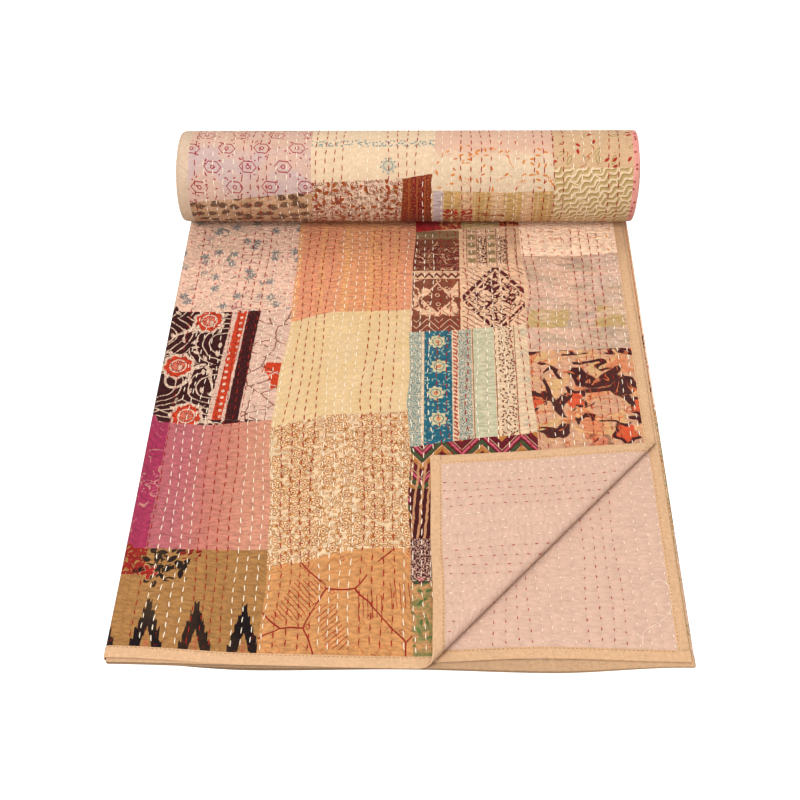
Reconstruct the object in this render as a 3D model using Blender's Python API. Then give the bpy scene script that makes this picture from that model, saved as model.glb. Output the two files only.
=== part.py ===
"""Quilted patchwork blanket, folded lengthwise into four layers. Its far end is rolled up on top of
the flat part, and one front corner of the top layer is turned back. Metres, +Z up, front at -Y."""

import math

import bmesh
import bpy
from mathutils import Vector

# Thicknesses of the cloth and of the folded strip that binds its edges
CLOTH_HALF = 0.00065
BINDING_HALF = 0.0010
BINDING_EDGE_HALF = 0.0006
BINDING_WIDTH = 0.012
BINDING_ROUND = 0.0016
PIECE_GAP = 0.0004
CUT_MERGE = 0.00008
SMOOTH_ANGLE = math.radians(40)

# The folded stack of four layers, counted from the top down
LAYER_PITCH = 0.0024
LOWEST_MIDDLE = 0.0010
UPPER_RIGHT_EDGE = 0.2794
LOWER_RIGHT_EDGE = 0.2830
LEFT_BEND_X = -0.2816
RIGHT_BEND_X = 0.2850
OUTER_BEND = 1.5 * LAYER_PITCH
INNER_BEND = 0.5 * LAYER_PITCH
BEND_STEPS = 5

# The roll: a spiral of the whole stack, pressed thinner than where it lies loose
ROLL_AXIS_Y = 0.6392
TURN_PITCH = 0.0049
TURN_GAP = 0.0004
FIRST_RADIUS = 0.0600
TURNS = 9.6
STEPS_PER_TURN = 16
STACK_TOP = 0.0097
FOOT_LENGTH = 0.012
FOOT_OVERLAP = 0.008
LIFT_OFF_ANGLE = math.radians(150)
ROLL_END_X = 0.2874
ROLL_END_SHIFT = 0.0010
LEFT_SHIFT_RATE = 1.7
RIGHT_SHIFT_RATE = 1.3

# The corner of the top layer that is turned back, about a slanting bend
FLAP_FRONT = Vector((0.0305, -0.0040))
FLAP_SIDE = Vector((0.2770, 0.2590))
FLAP_RADIUS_FRONT = 0.0058
FLAP_RADIUS_SIDE = 0.0036
FLAP_REST = 0.0028
FLAP_SETTLE = 0.110
FLAP_STEPS = 5
FLAP_SPARE = 0.1

# Quilting: the cloth is drawn in along each stitched row and stands up between the rows
ROW_PITCH = 0.0105
ROW_HEIGHT = 0.0005
ROW_STEP = ROW_PITCH / 2
ROWS_START_ANGLE = math.radians(17)
ROWS_END_ANGLE = math.radians(331)
BARE_BACK_DEPTH = 0.272

# Slow unevenness of the cloth
WAVE_HEIGHT = 0.0006
WAVE_LENGTH_X = 0.21
WAVE_LENGTH_Y = 0.17
WAVE_FRONT = 0.10
WAVE_BACK = 0.46
LIFT_DEPTH = 0.14
LIFT_FULL_X = -0.20
LIFT_FADE = 0.18
EDGE_STEP = 5 * ROW_PITCH
EDGE_DEPTH = 0.24
CLOTH_ROWS = (0.06, 0.15, BARE_BACK_DEPTH, 0.44)

# How far each layer's front edge stands from a straight line, at five places from left to right,
# and how far its front left part is lifted off the layer below
EDGE_PLACES = (-0.28, -0.14, 0.01, 0.145, 0.28)
FRONT_EDGES = {
    1: {"offsets": (0.0016, -0.0047, -0.0058, 0.0012, 0.0080), "lift": 0.0026},
    2: {"offsets": (-0.0020, -0.0035, 0.0014, 0.0074, 0.0051), "lift": 0.0020},
    3: {"offsets": (-0.0022, -0.0048, -0.0030, -0.0050, 0.0013), "lift": 0.0},
    4: {"offsets": (0.0010, -0.0062, -0.0036, -0.0058, 0.0013), "lift": 0.0},
}

# The way across the cloth, from the top layer's right edge round to the second layer's. A stretch
# lies in one layer, or bends from one to another with its patched face outside or inside
STRETCHES = (
    {"layers": (1, 1), "from_x": UPPER_RIGHT_EDGE, "to_x": LEFT_BEND_X, "radius": 0.0, "face_out": 1},
    {"layers": (1, 4), "from_x": LEFT_BEND_X, "to_x": LEFT_BEND_X, "radius": OUTER_BEND, "face_out": 1},
    {"layers": (4, 4), "from_x": LEFT_BEND_X, "to_x": RIGHT_BEND_X, "radius": 0.0, "face_out": 1},
    {"layers": (4, 3), "from_x": RIGHT_BEND_X, "to_x": RIGHT_BEND_X, "radius": INNER_BEND, "face_out": 1},
    {"layers": (3, 3), "from_x": RIGHT_BEND_X, "to_x": LEFT_BEND_X, "radius": 0.0, "face_out": 1},
    {"layers": (3, 2), "from_x": LEFT_BEND_X, "to_x": LEFT_BEND_X, "radius": INNER_BEND, "face_out": -1},
    {"layers": (2, 2), "from_x": LEFT_BEND_X, "to_x": LOWER_RIGHT_EDGE, "radius": 0.0, "face_out": 1},
)

CLOTH_DEPTH = ROLL_AXIS_Y - FOOT_LENGTH + FOOT_OVERLAP
AXIS_HEIGHT = STACK_TOP + TURN_GAP + FIRST_RADIUS - TURN_PITCH
FLAP_ALONG = (FLAP_SIDE - FLAP_FRONT).normalized()
FLAP_ACROSS = Vector((FLAP_ALONG.y, -FLAP_ALONG.x))
FLAP_SPAN = (FLAP_SIDE - FLAP_FRONT).length


def ease(t):
    t = min(max(t, 0.0), 1.0)
    return t * t * (3 - 2 * t)


def stretch_length(stretch):
    return abs(stretch["to_x"] - stretch["from_x"]) + math.pi * stretch["radius"]


def stretch_starts():
    starts = [0.0]
    for stretch in STRETCHES:
        starts.append(starts[-1] + stretch_length(stretch))
    return starts


STARTS = stretch_starts()
ACROSS_LENGTH = STARTS[-1]


def smooth_edge(layer, x):
    offsets = FRONT_EDGES[layer]["offsets"]
    for place in range(len(EDGE_PLACES) - 1):
        start, end = EDGE_PLACES[place], EDGE_PLACES[place + 1]
        if x <= end or place == len(EDGE_PLACES) - 2:
            share = ease((x - start) / (end - start))
            return offsets[place] + (offsets[place + 1] - offsets[place]) * share


def front_edge(layer, x):
    """The front edge is straight between shared cuts, so that the binding and the cloth fit."""
    cut = math.floor(x / EDGE_STEP)
    near = smooth_edge(layer, cut * EDGE_STEP)
    far = smooth_edge(layer, (cut + 1) * EDGE_STEP)
    return near + (far - near) * (x / EDGE_STEP - cut)


def layer_height(layer, x, y):
    resting = LOWEST_MIDDLE + (4 - layer) * LAYER_PITCH
    lift = FRONT_EDGES[layer]["lift"] * (1 - ease(y / LIFT_DEPTH))
    lift *= 1 - ease((x - LIFT_FULL_X) / LIFT_FADE)
    wave = math.sin(math.tau * x / WAVE_LENGTH_X) * math.sin(math.tau * y / WAVE_LENGTH_Y)
    calm = ease(y / WAVE_FRONT) * (1 - ease((y - WAVE_BACK) / WAVE_FRONT)) * (4 - layer) / 3
    return resting + lift + WAVE_HEIGHT * 0.5 * (1 + wave) * calm


def flap_radius(along):
    share = min(max(along / FLAP_SPAN, -FLAP_SPARE), 1 + FLAP_SPARE)
    return FLAP_RADIUS_FRONT + (FLAP_RADIUS_SIDE - FLAP_RADIUS_FRONT) * share


def past_bend(x, y):
    """How far a point of the flat top layer lies past the corner's bend's start, and its radius there."""
    from_front = Vector((x, y)) - FLAP_FRONT
    radius = flap_radius(from_front.dot(FLAP_ALONG))
    return from_front.dot(FLAP_ACROSS) + radius, radius


def turn_corner(x, y, w):
    past, radius = past_bend(x, y)
    if past <= 0:
        return Vector((x, y, layer_height(1, x, y) + w))
    along = (Vector((x, y)) - FLAP_FRONT).dot(FLAP_ALONG)
    turn = min(past / radius, math.pi)
    beyond = max(past - math.pi * radius, 0.0)
    across = -radius + radius * math.sin(turn) - beyond - w * math.sin(turn)
    rise = radius * (1 - math.cos(turn))
    rise += (FLAP_REST - 2 * radius) * ease(beyond / FLAP_SETTLE)
    spot = FLAP_FRONT + along * FLAP_ALONG + across * FLAP_ACROSS
    return Vector((spot.x, spot.y, layer_height(1, spot.x, spot.y) + rise + w * math.cos(turn)))


def place(s, v, w):
    """Folded place of a point of the flat cloth: s across, v back from the front edge, w out of the face."""
    index = 0
    while index < len(STRETCHES) - 1 and s > STARTS[index + 1]:
        index += 1
    stretch = STRETCHES[index]
    done = s - STARTS[index]
    near, far = stretch["layers"]
    share = done / stretch_length(stretch)
    hold = 1 - ease(v / EDGE_DEPTH)
    if stretch["radius"] == 0:
        x = stretch["from_x"] + (stretch["to_x"] - stretch["from_x"]) * share
        y = v + front_edge(near, x) * hold
        if near == 1:
            return turn_corner(x, y, w)
        up = w if near == 3 else -w
        return Vector((x, y, layer_height(near, x, y) + up))
    side = math.copysign(1, stretch["from_x"])
    angle = math.pi * share
    x = stretch["from_x"]
    y = v + (front_edge(near, x) * (1 - share) + front_edge(far, x) * share) * hold
    start, end = layer_height(near, x, y), layer_height(far, x, y)
    out = w * stretch["face_out"]
    upright = math.copysign(1, start - end)
    reach = stretch["radius"] + out
    height = (start + end) / 2 + ((start - end) / 2 + upright * out) * math.cos(angle)
    return Vector((x + side * reach * math.sin(angle), y, height))


def row_crown(x):
    return 1 - abs(2 * ((x / ROW_PITCH) % 1.0) - 1)


def cloth_half(s, v, side):
    """Half the cloth's thickness on one side, raised between stitched rows where that side shows."""
    x = UPPER_RIGHT_EDGE - s if s < STARTS[1] else LEFT_BEND_X + s - STARTS[6]
    if s < STARTS[1]:
        past, radius = past_bend(x, v + front_edge(1, x) * (1 - ease(v / EDGE_DEPTH)))
        turned = ease(past / (math.pi * radius))
        shows = turned if side < 0 else 1 - turned
    else:
        shows = 1.0 if side < 0 and on_bare_back(s, v) else 0.0
    return CLOTH_HALF + ROW_HEIGHT * row_crown(x) * shows


def on_bare_back(s, v):
    return s > STARTS[6] - LEFT_BEND_X and v < BARE_BACK_DEPTH


def front_half(s, v, side):
    return BINDING_EDGE_HALF + (BINDING_HALF - BINDING_EDGE_HALF) * ease(v / BINDING_ROUND)


def upper_side_half(s, v, side):
    return BINDING_EDGE_HALF + (BINDING_HALF - BINDING_EDGE_HALF) * ease(s / BINDING_ROUND)


def lower_side_half(s, v, side):
    return upper_side_half(ACROSS_LENGTH - s, v, side)


def cut(mesh, faces, at, normal):
    geometry = set(faces)
    for face in faces:
        geometry.update(face.edges)
        geometry.update(face.verts)
    bmesh.ops.bisect_plane(
        mesh,
        geom=list(geometry),
        dist=CUT_MERGE,
        plane_co=(at[0], at[1], 0),
        plane_no=(normal[0], normal[1], 0),
    )


def shared_cuts(start, end):
    """Places across the cloth where it and its binding both have a line of points."""
    cuts = []
    for index, stretch in enumerate(STRETCHES):
        if stretch["radius"] > 0:
            for step in range(BEND_STEPS + 1):
                cuts.append(STARTS[index] + stretch_length(stretch) * step / BEND_STEPS)
            continue
        low = min(stretch["from_x"], stretch["to_x"])
        high = max(stretch["from_x"], stretch["to_x"])
        for line in range(math.ceil(low / EDGE_STEP), math.floor(high / EDGE_STEP) + 1):
            cuts.append(STARTS[index] + abs(line * EDGE_STEP - stretch["from_x"]))
    return [s for s in cuts if start + 1e-5 < s < end - 1e-5]


def cut_corner_bend(mesh):
    """Lines of points along the slanting bend, at even angles round it, in the flat cloth's own measures."""
    for step in range(FLAP_STEPS + 1):
        ends = []
        for share in (-FLAP_SPARE, 1 + FLAP_SPARE):
            radius = flap_radius(share * FLAP_SPAN)
            spot = FLAP_FRONT + share * FLAP_SPAN * FLAP_ALONG
            spot += (step * math.pi / FLAP_STEPS - 1) * radius * FLAP_ACROSS
            ends.append(Vector((UPPER_RIGHT_EDGE - spot.x, spot.y)))
        line = (ends[1] - ends[0]).normalized()
        top_faces = [face for face in mesh.faces if face.calc_center_median().x < STARTS[1]]
        cut(mesh, top_faces, ends[0], (line.y, -line.x))


def cut_stitched_rows(mesh):
    for line in range(math.ceil(LEFT_BEND_X / ROW_STEP), math.floor(UPPER_RIGHT_EDGE / ROW_STEP) + 1):
        top_faces = [face for face in mesh.faces if face.calc_center_median().x < STARTS[1]]
        cut(mesh, top_faces, (UPPER_RIGHT_EDGE - line * ROW_STEP, 0), (1, 0))
    for line in range(1, math.floor(LOWER_RIGHT_EDGE / ROW_STEP) + 1):
        middles = [(face, face.calc_center_median()) for face in mesh.faces]
        bare = [face for face, middle in middles if on_bare_back(middle.x, middle.y)]
        cut(mesh, bare, (STARTS[6] + line * ROW_STEP - LEFT_BEND_X, 0), (1, 0))


def flat_piece(s_from, s_to, v_from, v_to):
    mesh = bmesh.new()
    bmesh.ops.create_grid(mesh, x_segments=1, y_segments=1, size=0.5)
    bmesh.ops.scale(mesh, verts=mesh.verts, vec=(s_to - s_from, v_to - v_from, 1))
    bmesh.ops.translate(mesh, verts=mesh.verts, vec=((s_from + s_to) / 2, (v_from + v_to) / 2, 0))
    for s in shared_cuts(s_from, s_to):
        cut(mesh, mesh.faces[:], (s, 0), (1, 0))
    return mesh


def fold_up(mesh, name, half, look):
    """Gives a flat piece its thickness, folds every point to its place and makes the object."""
    bmesh.ops.triangulate(mesh, faces=mesh.faces[:])
    for vertex in mesh.verts:
        vertex.co.z = -1
    raised = bmesh.ops.extrude_face_region(mesh, geom=mesh.faces[:], use_keep_orig=True)["geom"]
    for item in raised:
        if isinstance(item, bmesh.types.BMVert):
            item.co.z = 1
    bmesh.ops.recalc_face_normals(mesh, faces=mesh.faces[:])
    for vertex in mesh.verts:
        s, v, side = vertex.co
        vertex.co = place(s, v, side * half(s, v, side))
    if mesh.calc_volume(signed=True) < 0:
        bmesh.ops.reverse_faces(mesh, faces=mesh.faces[:])
    return make_object(mesh, name, look)


def make_object(mesh, name, look):
    bmesh.ops.triangulate(mesh, faces=mesh.faces[:])
    data = bpy.data.meshes.new(name)
    mesh.to_mesh(data)
    mesh.free()
    data.shade_smooth()
    data.set_sharp_from_angle(angle=SMOOTH_ANGLE)
    data.materials.append(look)
    thing = bpy.data.objects.new(name, data)
    bpy.context.scene.collection.objects.link(thing)
    return thing


def make_cloth(look):
    front = BINDING_WIDTH + PIECE_GAP
    mesh = flat_piece(front, ACROSS_LENGTH - front, front, CLOTH_DEPTH)
    for v in CLOTH_ROWS:
        cut(mesh, mesh.faces[:], (0, v), (0, 1))
    cut_stitched_rows(mesh)
    cut_corner_bend(mesh)
    return fold_up(mesh, "quilt", cloth_half, look)


def make_front_binding(look):
    mesh = flat_piece(0, ACROSS_LENGTH, 0, BINDING_WIDTH)
    cut(mesh, mesh.faces[:], (0, BINDING_ROUND), (0, 1))
    cut_corner_bend(mesh)
    return fold_up(mesh, "binding_front", front_half, look)


def make_side_binding(name, s_from, s_to, round_at, half, look):
    mesh = flat_piece(s_from, s_to, BINDING_WIDTH + PIECE_GAP, ROLL_AXIS_Y - FOOT_LENGTH - PIECE_GAP)
    for v in CLOTH_ROWS:
        cut(mesh, mesh.faces[:], (0, v), (0, 1))
    cut(mesh, mesh.faces[:], (round_at, 0), (1, 0))
    cut_corner_bend(mesh)
    return fold_up(mesh, name, half, look)


def lift_off(angle):
    """Extra radius near the floor, where the loose stack turns up into the roll."""
    extra = AXIS_HEIGHT - FIRST_RADIUS
    return extra * max(0.0, 1 - angle / LIFT_OFF_ANGLE) ** 2


def roll_section(angle, columns):
    """One cut through the wound stack: its outer line with raised rows, then its inner line back."""
    outer = FIRST_RADIUS - TURN_PITCH * angle / math.tau
    inner = outer - TURN_PITCH + TURN_GAP
    outer += lift_off(angle)
    left = -ROLL_END_X + ROLL_END_SHIFT * math.sin(LEFT_SHIFT_RATE * angle)
    right = ROLL_END_X + ROLL_END_SHIFT * math.sin(RIGHT_SHIFT_RATE * angle)
    direction = Vector((0, math.sin(angle), -math.cos(angle)))
    axis = Vector((0, ROLL_AXIS_Y, AXIS_HEIGHT))
    raised = ROW_HEIGHT if ROWS_START_ANGLE < angle < ROWS_END_ANGLE else 0
    line = []
    for column in range(columns + 1):
        x = left if column == 0 else right if column == columns else (column - columns / 2) * ROW_STEP
        crown = raised * (column % 2) if 0 < column < columns else 0
        line.append(axis + direction * (outer + crown) + Vector((x, 0, 0)))
    line.append(axis + direction * inner + Vector((right, 0, 0)))
    line.append(axis + direction * inner + Vector((left, 0, 0)))
    return line


def foot_section():
    front = ROLL_AXIS_Y - FOOT_LENGTH
    corners = ((-1, 0.0), (1, 0.0), (1, STACK_TOP), (-1, STACK_TOP))
    return [Vector((side * ROLL_END_X, front, height)) for side, height in corners]


def make_roll(look):
    """The roll is one wound strip of the whole stack, with a short flat foot that the layers run into."""
    columns = 4 * math.floor(ROLL_END_X / ROW_PITCH)
    sections = [foot_section()]
    for step in range(math.ceil(TURNS * STEPS_PER_TURN) + 1):
        on_outside = step <= STEPS_PER_TURN
        sections.append(roll_section(math.tau * step / STEPS_PER_TURN, columns if on_outside else 1))
    mesh = bmesh.new()
    rings = [[mesh.verts.new(point) for point in section] for section in sections]
    for near, far in zip(rings, rings[1:]):
        if len(near) == len(far):
            for column in range(len(near) - 3):
                mesh.faces.new((near[column], near[column + 1], far[column + 1], far[column]))
        else:
            mesh.faces.new(near[:-2] + far[-3::-1])
        for first, second in ((-3, -2), (-2, -1), (-1, 0)):
            mesh.faces.new((near[first], near[second], far[second], far[first]))
    mesh.faces.new(rings[0][::-1])
    mesh.faces.new(rings[-1])
    bmesh.ops.recalc_face_normals(mesh, faces=mesh.faces[:])
    if mesh.calc_volume(signed=True) < 0:
        bmesh.ops.reverse_faces(mesh, faces=mesh.faces[:])
    return make_object(mesh, "wound_end", look)


def join_roll(cloth, roll):
    union = cloth.modifiers.new("roll", "BOOLEAN")
    union.operation = "UNION"
    union.solver = "EXACT"
    union.object = roll
    roll.hide_render = True
    roll.display_type = "WIRE"


def stand_on_origin(things):
    """Moves every mesh so that the origin is under the middle of the whole blanket."""
    corners = [vertex.co for thing in things for vertex in thing.data.vertices]
    shift = Vector((0, 0, 0))
    for axis in range(2):
        shift[axis] = -(min(co[axis] for co in corners) + max(co[axis] for co in corners)) / 2
    for thing in things:
        for vertex in thing.data.vertices:
            vertex.co += shift


def make_look(name, colour, roughness):
    look = bpy.data.materials.new(name)
    look.use_nodes = True
    shader = look.node_tree.nodes["Principled BSDF"]
    shader.inputs["Base Color"].default_value = (*colour, 1)
    shader.inputs["Roughness"].default_value = roughness
    shader.inputs["Metallic"].default_value = 0
    look.diffuse_color = (*colour, 1)
    return look


def main():
    for thing in list(bpy.data.objects):
        bpy.data.objects.remove(thing, do_unlink=True)
    cotton = make_look("patched cotton", (0.62, 0.42, 0.30), 0.9)
    tan = make_look("tan binding cotton", (0.66, 0.45, 0.25), 0.85)
    cloth = make_cloth(cotton)
    roll = make_roll(cotton)
    edges = [
        make_front_binding(tan),
        make_side_binding("binding_side_upper", 0, BINDING_WIDTH, BINDING_ROUND, upper_side_half, tan),
        make_side_binding(
            "binding_side_lower",
            ACROSS_LENGTH - BINDING_WIDTH,
            ACROSS_LENGTH,
            ACROSS_LENGTH - BINDING_ROUND,
            lower_side_half,
            tan,
        ),
    ]
    stand_on_origin([cloth, roll, *edges])
    join_roll(cloth, roll)


main()
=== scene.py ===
import math

import bpy
import numpy as np
from mathutils import Matrix, Vector


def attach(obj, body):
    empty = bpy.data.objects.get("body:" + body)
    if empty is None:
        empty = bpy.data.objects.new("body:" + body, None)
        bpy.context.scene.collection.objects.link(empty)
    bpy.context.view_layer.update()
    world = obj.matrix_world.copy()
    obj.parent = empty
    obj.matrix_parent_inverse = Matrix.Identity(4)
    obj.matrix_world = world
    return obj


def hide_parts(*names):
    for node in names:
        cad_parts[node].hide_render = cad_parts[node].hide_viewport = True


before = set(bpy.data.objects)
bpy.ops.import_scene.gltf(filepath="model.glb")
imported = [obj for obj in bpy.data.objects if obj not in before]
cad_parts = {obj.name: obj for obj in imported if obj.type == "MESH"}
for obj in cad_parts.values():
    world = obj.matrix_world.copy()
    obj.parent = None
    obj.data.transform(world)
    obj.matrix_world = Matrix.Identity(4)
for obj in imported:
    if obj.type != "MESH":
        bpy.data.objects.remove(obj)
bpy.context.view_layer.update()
bpy.ops.object.select_all(action="DESELECT")
tau = 2 * math.pi
print("frame loaded")

# camera, light and floor

lamps = {  # where each soft light stands, its size and its power
    "key light": {"place": (-1.35, -1.75, 3.0), "size": 1.2, "power": 102},
    "low light": {"place": (0.40, -3.20, 1.5), "size": 1.4, "power": 22},
    "back light": {"place": (0.3, 1.5, 2.6), "size": 1.6, "power": 32},
}
studio = {
    "lens": 49.416,
    "sensor": 36,
    "cameraPlace": (0.02946, -0.798388, 0.99747),
    "cameraYaw": -2.469,
    "cameraPitch": 51.966,
    "cameraRoll": -1.690,
    "floorSize": 12,
    "floorHeight": -0.0003,
    "floorColour": (0.42, 0.40, 0.38),
    "floorRoughness": 0.8,
    "worldColour": (1.0, 1.0, 1.0),
    "worldStrength": 0.62,
}


def aimedCamera():
    yaw, pitch, roll = (math.radians(studio[name]) for name in ("cameraYaw", "cameraPitch", "cameraRoll"))
    forward = Vector((math.sin(yaw) * math.cos(pitch), math.cos(yaw) * math.cos(pitch), -math.sin(pitch)))
    level = Vector((math.cos(yaw), -math.sin(yaw), 0))
    upright = level.cross(forward)
    right = level * math.cos(roll) + upright * math.sin(roll)
    up = right.cross(forward)
    data = bpy.data.cameras.new("photo view")
    data.lens = studio["lens"]
    data.sensor_width = studio["sensor"]
    data.sensor_fit = "HORIZONTAL"
    camera = bpy.data.objects.new("photo view", data)
    bpy.context.scene.collection.objects.link(camera)
    turned = Matrix((right, up, -forward)).transposed().to_4x4()
    camera.matrix_world = Matrix.Translation(studio["cameraPlace"]) @ turned
    bpy.context.scene.camera = camera


def softLight(name, place, size, power):
    data = bpy.data.lights.new(name, "AREA")
    data.size = size
    data.energy = power
    lamp = bpy.data.objects.new(name, data)
    bpy.context.scene.collection.objects.link(lamp)
    lamp.location = place
    lamp.rotation_euler = (-Vector(place)).to_track_quat("-Z", "Y").to_euler()


def plainMaterial(name, colour, roughness):
    material = bpy.data.materials.new(name)
    material.use_nodes = True
    shader = material.node_tree.nodes["Principled BSDF"]
    shader.inputs["Base Color"].default_value = (*colour, 1)
    shader.inputs["Roughness"].default_value = roughness
    return material


aimedCamera()
for name, lamp in lamps.items():
    softLight(name, lamp["place"], lamp["size"], lamp["power"])
world = bpy.data.worlds.new("white studio")
world.use_nodes = True
world.node_tree.nodes["Background"].inputs["Color"].default_value = (*studio["worldColour"], 1)
world.node_tree.nodes["Background"].inputs["Strength"].default_value = studio["worldStrength"]
bpy.context.scene.world = world
bpy.context.scene.view_settings.view_transform = "Standard"
bpy.ops.mesh.primitive_plane_add(size=studio["floorSize"], location=(0, 0, studio["floorHeight"]))
floor = bpy.context.object
floor.name = "floor"
bpy.ops.object.transform_apply(location=True)
pale = plainMaterial("pale floor", studio["floorColour"], studio["floorRoughness"])
seen = pale.node_tree.nodes.new("ShaderNodeLightPath")
shader = pale.node_tree.nodes["Principled BSDF"]
shader.inputs["Emission Color"].default_value = (1, 1, 1, 1)
pale.node_tree.links.new(seen.outputs["Is Camera Ray"], shader.inputs["Emission Strength"])
floor.data.materials.append(pale)
print("camera, light and floor made")

# how the cloth is folded and rolled: the same measures as the solids, before the shift to the frame

fold = {
    "shiftY": -0.346708,
    "layerPitch": 0.0024,
    "lowestMiddle": 0.0010,
    "stackTop": 0.0097,
    "waveHeight": 0.0006,
    "waveLengths": (0.21, 0.17),
    "waveFront": 0.10,
    "waveBack": 0.46,
    "liftDepth": 0.14,
    "liftFullX": -0.20,
    "liftFade": 0.18,
    "edgeDepth": 0.24,
    "edgePlaces": (-0.28, -0.14, 0.01, 0.145, 0.28),
}
frontEdges = {  # how far each layer's front edge stands from a straight line, and its lift at the left
    1: {"offsets": (0.0016, -0.0047, -0.0058, 0.0012, 0.0080), "lift": 0.0026},
    2: {"offsets": (-0.0020, -0.0035, 0.0014, 0.0074, 0.0051), "lift": 0.0020},
    3: {"offsets": (-0.0022, -0.0048, -0.0030, -0.0050, 0.0013), "lift": 0.0},
    4: {"offsets": (0.0010, -0.0062, -0.0036, -0.0058, 0.0013), "lift": 0.0},
}
leftBend, rightBend = -0.2816, 0.2850  # where the layers fold over, left and right
stretches = (  # the way across the cloth, from the top layer's right edge to the second layer's
    {"layers": (1, 1), "fromX": 0.2794, "toX": leftBend, "radius": 0.0, "faceOut": 1},
    {"layers": (1, 4), "fromX": leftBend, "toX": leftBend, "radius": 0.0036, "faceOut": 1},
    {"layers": (4, 4), "fromX": leftBend, "toX": rightBend, "radius": 0.0, "faceOut": 1},
    {"layers": (4, 3), "fromX": rightBend, "toX": rightBend, "radius": 0.0012, "faceOut": 1},
    {"layers": (3, 3), "fromX": rightBend, "toX": leftBend, "radius": 0.0, "faceOut": 1},
    {"layers": (3, 2), "fromX": leftBend, "toX": leftBend, "radius": 0.0012, "faceOut": -1},
    {"layers": (2, 2), "fromX": leftBend, "toX": 0.2830, "radius": 0.0, "faceOut": 1},
)
roll = {
    "axisY": 0.6392,
    "axisHeight": 0.0652,
    "firstRadius": 0.0600,
    "turnPitch": 0.0049,
    "turnGap": 0.0004,
    "turns": 9.6,
    "liftOff": math.radians(150),
    "endShift": 0.0011,
    "endShiftRate": 0.9,
    "spread": 0.0022,
    "spreadRate": 1.3,
}
corner = {
    "front": (0.0305, -0.0040),
    "side": (0.2770, 0.2590),
    "radiusFront": 0.0058,
    "radiusSide": 0.0036,
    "rest": 0.0028,
    "settle": 0.110,
}
starts = np.cumsum([0.0] + [abs(part["toX"] - part["fromX"]) + math.pi * part["radius"]
                            for part in stretches])
across = starts[-1]


def ease(t):
    t = np.clip(t, 0, 1)
    return t * t * (3 - 2 * t)


def mixed(start, end, share):
    return start + (end - start) * share


def rollRadius(turn):
    lift = (roll["axisHeight"] - roll["firstRadius"]) * np.maximum(0, 1 - turn / roll["liftOff"]) ** 2
    return roll["firstRadius"] - roll["turnPitch"] * turn / tau + lift


def bundleThickness(turn):
    return rollRadius(turn) - (roll["firstRadius"] - roll["turnPitch"] * (turn / tau + 1) + roll["turnGap"])


turnTable = np.linspace(0, roll["turns"] * tau, 6000)
middleRadius = rollRadius(turnTable) - bundleThickness(turnTable) / 2
alongTable = np.concatenate(([0], np.cumsum((middleRadius[1:] + middleRadius[:-1]) / 2 * np.diff(turnTable))))
clothLength = roll["axisY"] + alongTable[-1]
print("cloth is", round(float(across), 4), "across and", round(float(clothLength), 4), "long")


def turnAt(v):
    return np.interp(v - roll["axisY"], alongTable, turnTable)


def lengthAt(turn):
    return roll["axisY"] + np.interp(turn, turnTable, alongTable)


def inRoll(v):
    return ease(turnAt(v) / roll["liftOff"])


def frontEdge(layer, x):
    places, offsets = np.array(fold["edgePlaces"]), np.array(frontEdges[layer]["offsets"])
    i = np.clip(np.searchsorted(places, x) - 1, 0, len(places) - 2)
    return mixed(offsets[i], offsets[i + 1], ease((x - places[i]) / (places[i + 1] - places[i])))


def layerHeight(layer, x, y, turn):
    resting = fold["lowestMiddle"] + (4 - layer) * fold["layerPitch"]
    lift = frontEdges[layer]["lift"] * (1 - ease(y / fold["liftDepth"]))
    lift = lift * (1 - ease((x - fold["liftFullX"]) / fold["liftFade"]))
    wave = np.sin(tau * x / fold["waveLengths"][0]) * np.sin(tau * y / fold["waveLengths"][1])
    calm = ease(y / fold["waveFront"]) * (1 - ease((y - fold["waveBack"]) / fold["waveFront"]))
    calm = calm * (4 - layer) / 3
    flat = resting + lift + fold["waveHeight"] * 0.5 * (1 + wave) * calm
    share = mixed(resting / fold["stackTop"], (4 - layer) * 0.25 + 0.125, ease(turn / roll["liftOff"]))
    return np.where(turn > 0, bundleThickness(turn) * share, flat)


frontSpot, sideSpot = np.array(corner["front"]), np.array(corner["side"])
cornerSpan = np.linalg.norm(sideSpot - frontSpot)
cornerAlong = (sideSpot - frontSpot) / cornerSpan
cornerAcross = np.array((cornerAlong[1], -cornerAlong[0]))


def pastBend(x, y):
    along = (x - frontSpot[0]) * cornerAlong[0] + (y - frontSpot[1]) * cornerAlong[1]
    radius = mixed(corner["radiusFront"], corner["radiusSide"], np.clip(along / cornerSpan, -0.1, 1.1))
    past = (x - frontSpot[0]) * cornerAcross[0] + (y - frontSpot[1]) * cornerAcross[1] + radius
    return past, radius, along


def turnedBack(x, y):
    past, radius = pastBend(x, y)[:2]
    return ease(past / (math.pi * radius))


def turnCorner(x, y, w, turn):
    past, radius, along = pastBend(x, y)
    bend = np.clip(past / radius, 0, math.pi)
    beyond = np.maximum(past - math.pi * radius, 0)
    out = np.where(past > 0, radius * np.sin(bend) - radius - beyond - w * np.sin(bend), past - radius)
    rise = radius * (1 - np.cos(bend)) + (corner["rest"] - 2 * radius) * ease(beyond / corner["settle"])
    spotX = frontSpot[0] + along * cornerAlong[0] + out * cornerAcross[0]
    spotY = frontSpot[1] + along * cornerAlong[1] + out * cornerAcross[1]
    return spotX, spotY, layerHeight(1, spotX, spotY, turn) + rise + w * np.cos(bend)


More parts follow.
